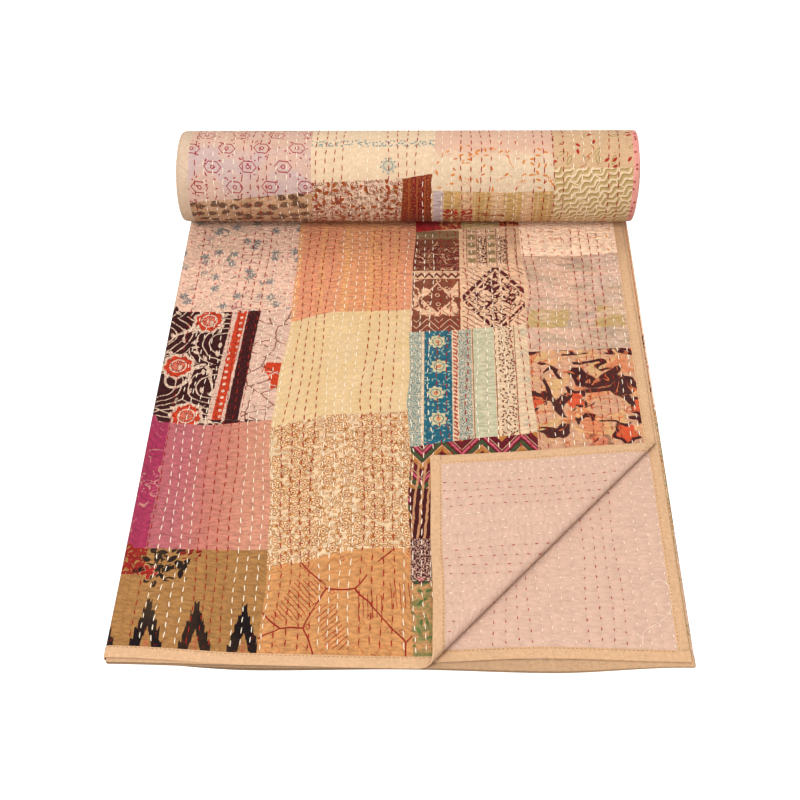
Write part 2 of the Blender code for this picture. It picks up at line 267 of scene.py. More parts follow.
def placeInStretch(part, done, v, w, turn):
    near, far = part["layers"]
    hold = 1 - ease(v / fold["edgeDepth"])
    if part["radius"] == 0:
        x = part["fromX"] + np.sign(part["toX"] - part["fromX"]) * done
        y = v + frontEdge(near, x) * hold
        if near == 1:
            return turnCorner(x, y, w, turn)
        return x, y, layerHeight(near, x, y, turn) + (w if near == 3 else -w)
    angle = done / part["radius"]
    share = angle / math.pi
    x = np.full_like(done, part["fromX"])
    y = v + mixed(frontEdge(near, x), frontEdge(far, x), share) * hold
    start, end = layerHeight(near, x, y, turn), layerHeight(far, x, y, turn)
    out = w * part["faceOut"]
    height = (start + end) / 2 + ((start - end) / 2 + np.sign(start - end) * out) * np.cos(angle)
    return x + math.copysign(1, part["fromX"]) * (part["radius"] + out) * np.sin(angle), y, height


def stretchOf(s):
    return np.clip(np.searchsorted(starts, s, side="right") - 1, 0, len(stretches) - 1)


def foldedPlace(s, v, w):
    turn = turnAt(v)
    index = stretchOf(s)
    x, y, height = np.zeros_like(s), np.zeros_like(s), np.zeros_like(s)
    for number, part in enumerate(stretches):
        here = index == number
        if here.any():
            place = placeInStretch(part, s[here] - starts[number], v[here], w[here], turn[here])
            x[here], y[here], height[here] = place
    reach = rollRadius(turn) - height
    moved = x * (1 + roll["spread"] * np.sin(roll["spreadRate"] * turn))
    moved = moved + roll["endShift"] * np.sin(roll["endShiftRate"] * turn)
    x = np.where(turn > 0, moved, x)
    y = np.where(turn > 0, roll["axisY"] + reach * np.sin(turn), y)
    z = np.where(turn > 0, roll["axisHeight"] - reach * np.cos(turn), height)
    return np.stack((x, y + fold["shiftY"], z), axis=1)


# rows of quilting and sewn seams pull the cloth a little sideways

quilting = {
    "half": 0.00065,
    "halfInRoll": 0.00045,
    "rowPitch": {0: 0.0105, 2: 0.011375, 6: 0.0117},  # for each stretch that shows
    "firstRed": {0: -28, 2: 6, 6: 8},
    "rowHeight": 0.0005,
    "puckerLength": 0.0118,
    "puckerShare": 0.42,
    "puckerStep": 0.618,  # share of a pucker between one channel and the next
    "puckerDrift": (1.6, 0.083),
    "wobbles": ((0.0017, 0.29, 0.105, 0.3), (0.0008, 0.117, -0.061, 1.9)),  # size, along, across, start
    "calmEdge": (0.2750, 0.03),  # half width where the wobble has gone, and over what distance it goes
    "seamEdge": (0.2790, 0.02),
    "backEdge": 0.006,
    "edgeRelief": (0.013, 0.022),
    "flatEdge": (0.60, 0.02),  # where the top layer goes under the roll
    "bareDepth": 0.272,
    "bareEdge": 0.03,
    "shownTurns": (math.radians(14), math.radians(338)),
    "shownEdge": 0.25,
}
stepBack = 0.0035
flatRows = 0.630
turnRows = 1.015
seamBlend = 0.012
topPatches = (  # columns of the top layer, seams in millimetres: lattice row, then places (x, v) along it
    {"to": -0.139125, "prints": ("ikat", "crimson", "batik", "peachSprigs"),
     "rows": ((129.5, ((-285, 123), (-221, 123), (-142, 125))),
              (297.5, ((-283, 288), (-216, 283), (-148, 291))),
              (465.5, ((-284, 456), (-216, 456), (-146, 461)))),
     "seam": ((0, -134), (107, -136), (160, -140), (290, -147), (384, -144), (440, -141), (550, -138),
              (630, -137))},
    {"to": 0.007875, "prints": ("branches", "ochreFlowers", "paleYellow", "orangeMottle"),
     "rows": ((119, ((-136, 107), (-96, 112), (-75, 121), (-41, 128), (8, 129))),
              (290.5, ((-147, 279), (-115, 288), (-86, 298), (-45, 301), (3, 304))),
              (451.5, ((-140, 440), (-116, 448), (-86, 456), (-41, 458), (5, 460)))),
     "seam": ((0, 13), (90, 11), (255, 9), (305, 3), (430, 7), (530, 9), (630, 9))},
    {"to": 0.144375, "prints": ("greenLeaves", "darkZigzag", "tealStrips", "blockPrint", "redScraps"),
     "rows": ((94.5, ((11, 88), (31, 90), (144, 96))),
              (262.5, ((9, 255), (24, 258), (86, 268), (132, 273), (148, 277))),
              (427, ((8, 424), (67, 428), (109, 433), (146, 437))),
              (602, ((11, 598), (73, 604), (144, 610)))),
     "seam": ((0, 146), (275, 148), (367, 148), (437, 146), (479, 150), (554, 145), (630, 144))},
    {"to": rightBend, "prints": ("ochreFlowers", "boldFloral", "greyMauve", "pinkSprigs"),
     "rows": ((241.5, ((146, 241), (270, 241))),
              (395.5, ((145, 394), (202, 397), (258, 400))),
              (556.5, ((145, 554), (214, 554), (265, 560)))),
     "seam": ((0, 285), (630, 285))},
)
rollPatches = (  # columns of the lowest layer where it wraps the roll
    {"to": -0.270156, "prints": ("plainTan",), "rows": (), "seam": ((630, -269), (1015, -271))},
    {"to": -0.119438, "prints": ("paleYellow", "lilac", "oliveBlobs"),
     "rows": ((718.85, ((-270, 722), (-118, 716))),
              (891.6, ((-267, 898), (-247, 896), (-138, 886), (-118, 885)))),
     "seam": ((630, -118), (1015, -119))},
    {"to": -0.005688, "prints": ("orangeMottle", "garland", "rustLeaves"),
     "rows": ((738.59, ((-118, 741), (-5, 738))), (871.86, ((-116, 873), (-70, 871), (-5, 868)))),
     "seam": ((630, -6), (1015, -6))},
    {"to": 0.034125, "prints": ("orangeMottle", "garland", "rustWeave"),
     "rows": ((738.59, ((-5, 738), (34, 736))), (871.86, ((-5, 868), (32, 863)))),
     "seam": ((630, 35), (1015, 34))},
    {"to": 0.182000, "prints": ("ochreFlowers", "orangeSprigs", "goldStripes"),
     "rows": ((713.91, ((34, 716), (182, 710))), (881.73, ((46, 883), (128, 885), (180, 883)))),
     "seam": ((630, 182), (1015, 181))},
    {"to": 0.2792, "prints": ("greyMauve", "redSprigs", "oliveChain"),
     "rows": ((723.78, ((182, 720), (279, 727))), (857.05, ((180, 855), (279, 856)))),
     "seam": ((630, 280), (1015, 280))},
    {"to": 0.2900, "prints": ("pinkDots",), "rows": (), "seam": ((630, 290), (1015, 290))},
)


def flatX(s):
    index = stretchOf(s)
    x = np.zeros_like(s)
    for number, part in enumerate(stretches):
        here = index == number
        done = s[here] - starts[number]
        if part["radius"] == 0:
            x[here] = part["fromX"] + np.sign(part["toX"] - part["fromX"]) * done
        else:
            left = math.pi * part["radius"] - done
            x[here] = part["fromX"] + math.copysign(1, part["fromX"]) * np.minimum(done, left)
    return x


def sAt(number, x):
    return starts[number] + abs(x - stretches[number]["fromX"])


def rowSpots(column, x, v, first, last):
    # v moved so that the column's lattice rows lie on its seams
    knots = [(first, np.full_like(x, first))]
    for row, places in column["rows"]:
        spots = np.array(places) / 1000
        knots.append((row / 1000, np.interp(x, spots[:, 0], spots[:, 1])))
    knots.append((last, np.full_like(x, last)))
    moved = v.copy()
    for (low, lowSpot), (high, highSpot) in zip(knots, knots[1:]):
        here = (v >= low) & (v < high)
        moved[here] = mixed(lowSpot, highSpot, (v - low) / (high - low))[here]
    return moved


def seamShift(patches, x, v, first, last):
    # how far seams pull the cloth from its even lattice, sideways and back
    left, shiftLeft = leftBend, np.zeros_like(x)
    sideways, moved, joins = np.zeros_like(x), v.copy(), []
    for column, nextColumn in zip(patches, patches[1:] + (None,)):
        right = column["to"]
        seam = np.array(column["seam"]) / 1000
        shiftRight = np.interp(v, seam[:, 0], seam[:, 1]) - right if nextColumn else np.zeros_like(x)
        here = (x >= left) & (x <= right)
        share = ease((x - left) / (right - left))
        sideways[here] = mixed(shiftLeft, shiftRight, share)[here]
        own = rowSpots(column, x, v, first, last)
        moved[here] = own[here]
        if nextColumn:
            rows = sorted(column["rows"] + nextColumn["rows"])
            both = rowSpots({"rows": rows}, np.full_like(x, right), v, first, last)
            other = rowSpots(nextColumn, x, v, first, last)
            near = 1 - ease(np.abs(x - right) / seamBlend)
            beside = np.abs(x - right) < seamBlend
            mixedRows = mixed(np.where(x <= right, own, other), both, near)
            joins.append((mixedRows, beside))
        left, shiftLeft = right, shiftRight
    for mixedRows, beside in joins:
        moved[beside] = mixedRows[beside]
    return sideways, moved - v


def fromSides(x, halfWidth, fade):
    return ease((halfWidth - np.abs(x)) / fade)


def sewnPlace(s, v):
    # moves the even lattice onto the wavering rows and seams
    x = flatX(s)
    index = stretchOf(s)
    calm = fromSides(x, *quilting["calmEdge"]) * np.isin(index, (0, 2, 6))
    direction = np.where(index == 0, -1.0, 1.0)
    shift = np.zeros_like(s)
    for size, along, sideways, start in quilting["wobbles"]:
        shift += size * np.sin(tau * v / along + tau * x / sideways + start + index)
    shift *= calm
    back = np.zeros_like(s)
    for number, patches, first, last in ((0, topPatches, 0.0, flatRows),
                                         (2, rollPatches, flatRows, turnRows)):
        here = (index == number) & (v >= first) & (v <= last)
        if here.any():
            sideways, moved = seamShift(patches, x[here], v[here], first, last)
            shift[here] += sideways * fromSides(x[here], *quilting["seamEdge"])
            back[here] = moved * fromSides(x[here], -leftBend, quilting["backEdge"])
    return s + shift * direction, v + back


def rowPitchOf(index):
    pitch = np.full(index.shape, quilting["rowPitch"][0])
    for number in (2, 6):
        pitch[index == number] = quilting["rowPitch"][number]
    return pitch


def cushioned(x, v, pitch):
    # how far the cloth stands up between its stitched rows, from 0 at a row
    row = x / pitch
    crown = np.sin(math.pi * row) ** 2
    channel = np.floor(row)
    start = tau * ((channel * quilting["puckerStep"]) % 1)
    drift, driftLength = quilting["puckerDrift"]
    drifted = drift * np.sin(tau * v / driftLength + channel)
    pucker = np.sin(tau * v / quilting["puckerLength"] + start + drifted)
    return quilting["rowHeight"] * crown * (1 - quilting["puckerShare"] * (0.5 + 0.5 * pucker))


def clothHalf(s, v, side):
    # half the thickness on one side, cushioned where that side shows
    x, index, turn = flatX(s), stretchOf(s), turnAt(v)
    turned = turnedBack(x, v + frontEdge(1, x) * (1 - ease(v / fold["edgeDepth"])))
    flatEnd, flatFade = quilting["flatEdge"]
    top = np.where(side > 0, 1 - turned, turned) * (1 - ease((v - flatEnd) / flatFade))
    edge = quilting["bareEdge"]
    bare = ease(x / edge) * (1 - ease((v - quilting["bareDepth"] + edge) / edge)) * (side < 0)
    first, last = quilting["shownTurns"]
    fade = quilting["shownEdge"]
    outside = ease((turn - first) / fade) * (1 - ease((turn - last) / fade)) * (side > 0)
    shows = np.where(index == 0, top, np.where(index == 6, bare, np.where(index == 2, outside, 0)))
    near, far = quilting["edgeRelief"]
    fromEdge = np.minimum(v, np.where(index == 2, 1.0, np.minimum(s, across - s)))
    shows = shows * ease((fromEdge - near) / (far - near))
    half = mixed(quilting["half"], quilting["halfInRoll"], inRoll(v))
    return half + cushioned(x, v, rowPitchOf(index)) * shows


def surfacePlace(s, v, side, extra):
    half = clothHalf(s, v, side)
    sewnS, sewnV = sewnPlace(s, v)
    return foldedPlace(sewnS, sewnV, side * (half + extra))


# the cloth: one closed sheet, face and back, fine where it shows and coarse inside

bands = (  # from the front to the far end; coarse is the stride of hidden cells
    {"to": 0.273, "steps": 76, "coarse": 4},
    {"to": 0.630, "steps": 102, "coarse": 6},
    {"to": 1.015, "steps": 78, "coarse": 3},
    {"to": None, "steps": 204, "coarse": 1},
)
cells = (  # stride across in each band, on the face and on the back; a stride of 1 or 2 is fine
    {"stretch": 0, "toX": 0.1470, "steps": 48, "face": (1, 1, 8, 24), "back": (1, 8, 8, 24)},
    {"stretch": 0, "toX": 0.0, "steps": 56, "face": (1, 1, 8, 28), "back": (1, 8, 8, 28)},
    {"stretch": 0, "toX": -0.273, "steps": 104, "face": (1, 1, 8, 52), "back": (8, 8, 8, 52)},
    {"stretch": 0, "toX": leftBend, "steps": 4, "face": (1, 1, 2, 4), "back": (4, 4, 4, 4)},
    {"stretch": 1, "toX": None, "steps": 8, "face": (1, 1, 1, 2), "back": (4, 4, 4, 4)},
    {"stretch": 2, "toX": -0.273, "steps": 4, "face": (2, 2, 1, 4), "back": (4, 4, 4, 4)},
    {"stretch": 2, "toX": 0.273, "steps": 192, "face": (8, 8, 1, 48), "back": (16, 16, 16, 48)},
    {"stretch": 2, "toX": rightBend, "steps": 4, "face": (2, 2, 1, 4), "back": (4, 4, 4, 4)},
    {"stretch": 3, "toX": None, "steps": 6, "face": (1, 1, 1, 2), "back": (3, 3, 3, 3)},
    {"stretch": 4, "toX": leftBend, "steps": 16, "face": (4, 4, 4, 4), "back": (4, 4, 4, 4)},
    {"stretch": 5, "toX": None, "steps": 6, "face": (3, 3, 3, 3), "back": (3, 3, 3, 3)},
    {"stretch": 6, "toX": 0.0, "steps": 16, "face": (4, 4, 4, 8), "back": (4, 4, 4, 8)},
    {"stretch": 6, "toX": 0.1470, "steps": 56, "face": (8, 8, 8, 28), "back": (1, 8, 8, 28)},
    {"stretch": 6, "toX": 0.2730, "steps": 48, "face": (8, 8, 8, 24), "back": (1, 8, 8, 24)},
    {"stretch": 6, "toX": 0.2766, "steps": 1, "face": (1, 1, 1, 1), "back": (1, 1, 1, 1)},
)


def latticeLines():
    # all places across and back, with where each cell and band starts
    placesAcross, cellStarts = [sAt(0, 0.2730)], [0]
    for cell in cells:
        last = placesAcross[-1]
        end = starts[cell["stretch"] + 1] if cell["toX"] is None else sAt(cell["stretch"], cell["toX"])
        placesAcross += list(np.linspace(last, end, cell["steps"] + 1)[1:])
        cellStarts.append(len(placesAcross) - 1)
    placesBack, bandStarts = [2 * stepBack], [0]
    for band in bands:
        last = placesBack[-1]
        if band["to"] is None:
            turns = np.linspace(turnAt(last), roll["turns"] * tau, band["steps"] + 1)[1:]
            placesBack += list(lengthAt(turns))
        else:
            placesBack += list(np.linspace(last, band["to"], band["steps"] + 1)[1:])
        bandStarts.append(len(placesBack) - 1)
    return np.array(placesAcross), cellStarts, np.array(placesBack), bandStarts


placesAcross, cellStarts, placesBack, bandStarts = latticeLines()


def patchesOfCloth():
    # every cell of the lattice as (side, first column, last, stride, first row, last, stride)
    for side in (1, -1):
        for number, cell in enumerate(cells):
            for level, band in enumerate(bands):
                stride = cell["face" if side > 0 else "back"][level]
                strideBack = 1 if stride <= 2 and cell["steps"] > 1 else band["coarse"]
                yield (side, cellStarts[number], cellStarts[number + 1], stride,
                       bandStarts[level], bandStarts[level + 1], strideBack)


def weaveCloth():
    columns, rows = len(placesAcross), len(placesBack)
    used = {side: np.zeros((columns, rows), bool) for side in (1, -1)}
    for side, left, right, stride, near, far, strideBack in patchesOfCloth():
        used[side][left:right + 1:stride, near:far + 1:strideBack] = True
    number = {1: np.full((columns, rows), -1), -1: np.full((columns, rows), -1)}
    count = 0
    gridS, gridV, gridSide = [], [], []
    for side in (1, -1):
        i, j = np.nonzero(used[side])
        number[side][i, j] = count + np.arange(len(i))
        count += len(i)
        gridS.append(placesAcross[i])
        gridV.append(placesBack[j])
        gridSide.append(np.full(len(i), float(side)))
    gridS, gridV, gridSide = (np.concatenate(part) for part in (gridS, gridV, gridSide))
    faces = []
    for side, left, right, stride, near, far, strideBack in patchesOfCloth():
        index, inUse = number[side], used[side]
        for i in range(left, right, stride):
            for j in range(near, far, strideBack):
                onEdge = i == left or i + stride == right or j == near or j + strideBack == far
                if onEdge:
                    ring = [(a, j) for a in range(i, i + stride)]
                    ring += [(i + stride, b) for b in range(j, j + strideBack)]
                    ring += [(a, j + strideBack) for a in range(i + stride, i, -1)]
                    ring += [(i, b) for b in range(j + strideBack, j, -1)]
                    ring = [int(index[spot]) for spot in ring if inUse[spot]]
                else:
                    ring = [int(index[spot]) for spot in
                            ((i, j), (i + stride, j), (i + stride, j + strideBack), (i, j + strideBack))]
                faces.append(ring[::-1] if side > 0 else ring)
    faces += rimFaces(number, used)
    return gridS, gridV, gridSide, faces


def rimFaces(number, used):
    # closes the sheet along its four edges, between the points that face and back share
    columns, rows = used[1].shape
    lines = (
        ([(i, 0) for i in range(columns)], False),
        ([(columns - 1, j) for j in range(rows)], False),
        ([(i, rows - 1) for i in range(columns)], True),
        ([(0, j) for j in range(rows)], True),
    )
    faces = []
    for line, flipped in lines:
        shared = [k for k, spot in enumerate(line) if used[1][spot] and used[-1][spot]]
        for near, far in zip(shared, shared[1:]):
            front = [int(number[1][spot]) for spot in line[near:far + 1] if used[1][spot]]
            behind = [int(number[-1][spot]) for spot in line[near:far + 1] if used[-1][spot]]
            ring = front + behind[::-1]
            faces.append(ring[::-1] if flipped else ring)
    return faces


def meshObject(name, points, faces):
    data = bpy.data.meshes.new(name)
    data.from_pydata(points.tolist(), [], faces)
    data.update()
    thing = bpy.data.objects.new(name, data)
    bpy.context.scene.collection.objects.link(thing)
    return thing


def facingOut(thing):
    bpy.context.view_layer.objects.active = thing
    thing.select_set(True)
    bpy.ops.object.mode_set(mode="EDIT")
    bpy.ops.mesh.select_all(action="SELECT")
    bpy.ops.mesh.normals_make_consistent(inside=False)
    bpy.ops.object.mode_set(mode="OBJECT")
    thing.select_set(False)


def addUv(thing, name, u, v):
    corners = np.empty(len(thing.data.loops), int)
    thing.data.loops.foreach_get("vertex_index", corners)
    uvMap = thing.data.uv_layers.new(name=name)
    uvMap.data.foreach_set("uv", np.stack((u[corners], v[corners]), axis=1).ravel())


gridS, gridV, gridSide, clothFaces = weaveCloth()
points = surfacePlace(gridS, gridV, gridSide, 0.0)
quilt = meshObject("quilt_cloth", points, clothFaces)
sewnS, sewnV = sewnPlace(gridS, gridV)
addUv(quilt, "cloth", flatX(sewnS), sewnV)
addUv(quilt, "rows", flatX(gridS) / rowPitchOf(stretchOf(gridS)), gridV)
quilt.data.shade_smooth()
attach(quilt, "root")
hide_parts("quilt")
print("cloth woven:", len(points), "points,", sum(len(ring) - 2 for ring in clothFaces), "triangles")

# shader formulas: a socket that can be added, multiplied and compared like a number

edgeCrispness = 2.2  # each print's edge is about half a millimetre soft


class Wire:
    def __init__(self, tree, socket):
        self.tree, self.socket = tree, socket

    def reckon(self, operation, *others, clamp=False):
        node = self.tree.nodes.new("ShaderNodeMath")
        node.operation = operation
        node.use_clamp = clamp
        for place, value in enumerate((self,) + others):
            feed(self.tree, node.inputs[place], value)
        return Wire(self.tree, node.outputs[0])

    def __add__(self, other):
        return self.reckon("ADD", other)

    def __sub__(self, other):
        return self.reckon("SUBTRACT", other)

    def __rsub__(self, other):
        return self.reckon("MULTIPLY_ADD", -1.0, other)

    def __mul__(self, other):
        return self.reckon("MULTIPLY", other)

    def __truediv__(self, other):
        return self.reckon("DIVIDE", other)

    __radd__, __rmul__ = __add__, __mul__


def feed(tree, socket, value):
    if isinstance(value, Wire):
        tree.links.new(value.socket, socket)
    elif value is not None:
        socket.default_value = value


def inside(distance):
    return distance.reckon("MULTIPLY_ADD", -edgeCrispness, 0.5, clamp=True)


def largest(first, *others):
    for other in others:
        first = first.reckon("MAXIMUM", other)
    return first


def fromMiddle(value, pitch):
    # how far a value lies from the middle of its own stretch of one pitch
    return value.reckon("FLOORED_MODULO", pitch) - pitch * 0.5


def split(tree, vector):
    node = tree.nodes.new("ShaderNodeSeparateXYZ")
    feed(tree, node.inputs[0], vector)
    return Wire(tree, node.outputs[0]), Wire(tree, node.outputs[1])


def joined(tree, x, y):
    node = tree.nodes.new("ShaderNodeCombineXYZ")
    feed(tree, node.inputs[0], x)
    feed(tree, node.inputs[1], y)
    return Wire(tree, node.outputs[0])


def noise(tree, vector, size, detail=2.0, bend=0.0, output=0):
    node = tree.nodes.new("ShaderNodeTexNoise")
    node.noise_dimensions = "2D"
    feed(tree, node.inputs["Vector"], vector)
    feed(tree, node.inputs["Scale"], 1 / size if not isinstance(size, Wire) else size.reckon("POWER", -1.0))
    node.inputs["Detail"].default_value = detail
    node.inputs["Distortion"].default_value = bend
    return Wire(tree, node.outputs[output])


def scattered(tree, vector, spacing, wander):
    # a point in each cell: place from it, and two random numbers
    node = tree.nodes.new("ShaderNodeTexVoronoi")
    node.voronoi_dimensions = "2D"
    feed(tree, node.inputs["Vector"], vector)
    feed(tree, node.inputs["Scale"], spacing.reckon("POWER", -1.0))
    feed(tree, node.inputs["Randomness"], wander)
    away = tree.nodes.new("ShaderNodeVectorMath")
    away.operation = "SUBTRACT"
    feed(tree, away.inputs[0], vector)
    tree.links.new(node.outputs["Position"], away.inputs[1])
    x, y = split(tree, Wire(tree, away.outputs[0]))
    first, second = split(tree, Wire(tree, node.outputs["Color"]))
    return x, y, first, second


def turned(x, y, angle):
    cosine, sine = angle.reckon("COSINE"), angle.reckon("SINE")
    return x * cosine + y * sine, y * cosine - x * sine


def flowerMotif(tree, place, s):
    x, y, chance, other = scattered(tree, place, s["Spacing"], s["Wander"])
    px, py = split(tree, place)
    x = x + (px - s["AtX"] - x) * s["Single"]
    y = y + (py - s["AtY"] - y) * s["Single"]
    out = (x * x + y * y).reckon("SQRT")
    angle = y.reckon("ARCTAN2", x) + other * tau
    edge = s["Size"] * (1 - s["Depth"] * (0.5 - (angle * s["Petals"]).reckon("COSINE") * 0.5))
    keep = inside((chance - s["Keep"]) * 4)
    keep = keep.reckon("MAXIMUM", s["Single"])
    distance = out - edge
    rays = inside(((angle * s["Petals"]).reckon("SINE").reckon("ABSOLUTE") - 0.35) * out * 0.3)
    return {
        "Fill": inside(distance) * keep,
        "Outline": inside(distance.reckon("ABSOLUTE") - s["Line"] * 0.5) * keep,
        "Heart": inside(out - s["Size"] * 0.3) * keep,
        "Ring": inside((out - s["Size"] * 0.55).reckon("ABSOLUTE") - s["Line"] * 0.5) * keep,
        "Rays": rays * inside(distance) * keep,
    }


def leafMotif(tree, place, s):
    x, y, chance, other = scattered(tree, place, s["Spacing"], s["Wander"])
    x, y = turned(x, y, s["Turn"] + (other - 0.5) * s["Spread"])
    share = x / s["Length"]
    distance = y.reckon("ABSOLUTE") - s["Width"] * (1 - share * share)
    keep = inside((chance - s["Keep"]) * 4)
    return {
        "Fill": inside(distance) * keep,
        "Outline": inside(distance.reckon("ABSOLUTE") - s["Line"] * 0.5) * keep,
    }


def twigMotif(tree, place, s):
    field = noise(tree, place, s["Size"], detail=1.5, bend=0.6)
    line = inside((field - 0.5).reckon("ABSOLUTE") * s["Size"] * 2.4 - s["Width"] * 0.5)
    gaps = noise(tree, place, s["Size"] * 0.45, detail=0.0)
    keep = inside((gaps - (s["Keep"] * 0.5 + 0.25)) * 9)
    return {"Line": line * keep}


def veinMotif(tree, place, s):
    bent = noise(tree, place, s["Size"] * 0.5, detail=1.0, output=1)
    added = tree.nodes.new("ShaderNodeVectorMath")
    added.operation = "MULTIPLY_ADD"
    feed(tree, added.inputs[0], bent)
    tree.links.new(joined(tree, s["Bend"], s["Bend"]).socket, added.inputs[1])
    feed(tree, added.inputs[2], place)
    node = tree.nodes.new("ShaderNodeTexVoronoi")
    node.voronoi_dimensions = "2D"
    node.feature = "DISTANCE_TO_EDGE"
    tree.links.new(added.outputs[0], node.inputs["Vector"])
    feed(tree, node.inputs["Scale"], s["Size"].reckon("POWER", -1.0))
    feed(tree, node.inputs["Randomness"], s["Wander"])
    distance = Wire(tree, node.outputs["Distance"]) * s["Size"]
    gaps = noise(tree, place, s["Size"] * 0.4, detail=0.0)
    keep = inside((gaps - (s["Keep"] * 0.5 + 0.25)) * 9)
    return {"Line": inside(distance - s["Width"] * 0.5) * keep, "Cell": inside(s["Width"] - distance)}


def speckleMotif(tree, place, s):
    x, y = split(tree, place)
    field = noise(tree, joined(tree, x / s["Long"], y), s["Size"], detail=2.0, bend=0.4)
    return {"Fill": ((field - (0.72 - s["Share"] * 0.44)) * s["Crisp"] + 0.5).reckon("ADD", 0.0,
                                                                                     clamp=True)}


def stripeMotif(tree, place, s):
    x, y = split(tree, place)
    along, over = turned(x, y, s["Turn"])
    waver = (noise(tree, place, 11.0, detail=1.0) - 0.5) * s["Waver"]
    wave = (over * tau / s["WaveLength"]).reckon("SINE") * s["Wave"]
    spot = along - s["Start"] + waver + wave + s["Pitch"] * 0.5
    return {"Line": inside(fromMiddle(spot, s["Pitch"]).reckon("ABSOLUTE") - s["Width"] * 0.5)}


def zigzagMotif(tree, place, s):
    x, y = split(tree, place)
    share = (x / s["Pitch"]).reckon("FLOORED_MODULO", 1.0)
    saw = (share - 0.5).reckon("ABSOLUTE") * 2 * s["Height"]
    spot = y - s["Start"] - saw + s["RowPitch"] * 0.5
    return {"Line": inside(fromMiddle(spot, s["RowPitch"]).reckon("ABSOLUTE") - s["Width"] * 0.5)}


def diamondMotif(tree, place, s):
    x, y = split(tree, place)
    x = fromMiddle(x - s["StartX"], s["Wide"]).reckon("ABSOLUTE")
    y = fromMiddle(y - s["StartY"], s["Tall"]).reckon("ABSOLUTE")
    out = (x / s["Wide"] + y / s["Tall"]) * s["Wide"] * 0.7 - s["Size"] * s["Wide"] * 0.35
    return {"Fill": inside(out), "Outline": inside(out.reckon("ABSOLUTE") - s["Line"] * 0.5)}


def hexagonMotif(tree, place, s):
    x, y = split(tree, place)
    row = (y / s["RowPitch"]).reckon("FLOOR")
    x = fromMiddle(x + row * s["Pitch"] * 0.37, s["Pitch"])
    y = fromMiddle(y, s["RowPitch"]) - (x + s["Pitch"] * 0.5) * 0.1
    wide, tall = x.reckon("ABSOLUTE"), y.reckon("ABSOLUTE")
    edge = (wide + tall * 0.8 - s["Size"]).reckon("MAXIMUM", tall - s["Size"] * 0.62)
    out = (x * x + y * y).reckon("SQRT")
    cornerX, cornerY = wide - s["Size"] * 0.82, tall - s["Size"] * 0.8
    dot = (cornerX * cornerX + cornerY * cornerY).reckon("SQRT") - 1.0
    mark = inside(edge.reckon("ABSOLUTE") - s["Line"] * 0.5)
    ring = inside((out - s["Size"] * 0.2).reckon("ABSOLUTE") - s["Line"] * 0.45)
    return {"Line": largest(mark, ring, inside(dot))}


def rippleMotif(tree, place, s):
    x, y = scattered(tree, place, s["Spacing"], s["Wander"])[:2]
    out = (x * x + y * y * 1.4).reckon("SQRT") + (noise(tree, place, 24.0, detail=1.0) - 0.5) * s["Waver"]
    ring = fromMiddle(out, s["Pitch"]).reckon("ABSOLUTE") - s["Width"] * 0.5
    band = inside(out - s["Outer"]) * inside(s["Inner"] - out)
    return {"Line": inside(ring) * band}


def spearMotif(tree, place, s):
    x, y = split(tree, place)
    x = x - (s["Tall"] - y) * s["Slant"]
    x = fromMiddle(x - s["Start"] + s["Pitch"] * 0.5, s["Pitch"]).reckon("ABSOLUTE")
    y = y - s["Foot"]
    px, py = split(tree, place)
    feather = (noise(tree, joined(tree, px, py * 0.12), 1.7, detail=0.0) - 0.5) * 9
    down = (s["Tall"] - y - x * 0.5 + feather) / 9
    step = down.reckon("FLOOR")
    outer = x - 2.8 - step * 3.3
    inner = (23 - y + feather * 0.8) * 0.28 - x
    spire = largest(outer, inner, y - s["Tall"] - feather * 0.3, -4 - y)
    heart = (x - 1.1 - (14 - y) * 0.12).reckon("MAXIMUM", (y - 5).reckon("ABSOLUTE") - 7)
    return {"Fill": inside(spire), "Heart": inside(heart)}


def regionMotif(tree, place, s):
    x, y = split(tree, place)
    waver = (noise(tree, place, 9.0, detail=2.0) - 0.5) * s["Waver"]
    x = x - s["Slant"] * (y - s["Low"])
    distance = largest(s["Left"] - x, x - s["Right"], s["Low"] - y, y - s["High"])
    return {"Fill": (0.5 - (distance + waver) / s["Soft"]).reckon("ADD", 0.0, clamp=True)}


motifs = {
    "flower": (flowerMotif, {"Spacing": 30, "Wander": 0.7, "Size": 8, "Petals": 6, "Depth": 0.45,
                             "Keep": 0.8,
                             "Line": 0.9, "AtX": 0, "AtY": 0, "Single": 0}),
    "leaf": (leafMotif, {"Spacing": 12, "Wander": 1, "Length": 3, "Width": 1.2, "Turn": 0, "Spread": 6.28,
                         "Keep": 0.7, "Line": 0.7}),
    "twig": (twigMotif, {"Size": 30, "Width": 1, "Keep": 0.6}),
    "vein": (veinMotif, {"Size": 40, "Width": 1.4, "Wander": 1, "Bend": 8, "Keep": 1}),
    "speckle": (speckleMotif, {"Size": 4, "Share": 0.4, "Crisp": 14, "Long": 1}),
    "stripe": (stripeMotif, {"Pitch": 12, "Width": 3, "Start": 0, "Turn": 0, "Waver": 1, "Wave": 0,
                             "WaveLength": 30}),
    "zigzag": (zigzagMotif, {"Pitch": 9, "Height": 5, "RowPitch": 14, "Width": 2, "Start": 0}),
    "diamond": (diamondMotif, {"Wide": 30, "Tall": 30, "StartX": 0, "StartY": 0, "Size": 1, "Line": 1}),
    "hexagon": (hexagonMotif, {"Pitch": 40, "RowPitch": 30, "Size": 8, "Line": 1}),
    "ripple": (rippleMotif, {"Spacing": 70, "Wander": 0.6, "Pitch": 8, "Width": 1.3, "Inner": 18,
                             "Outer": 44, "Waver": 9}),
    "spear": (spearMotif, {"Pitch": 48, "Start": -249, "Foot": 11, "Tall": 53, "Slant": 0.07}),
    "region": (regionMotif, {"Left": -999, "Right": 999, "Low": -9999, "High": 9999, "Waver": 0.6,
                             "Soft": 0.5, "Slant": 0}),
}


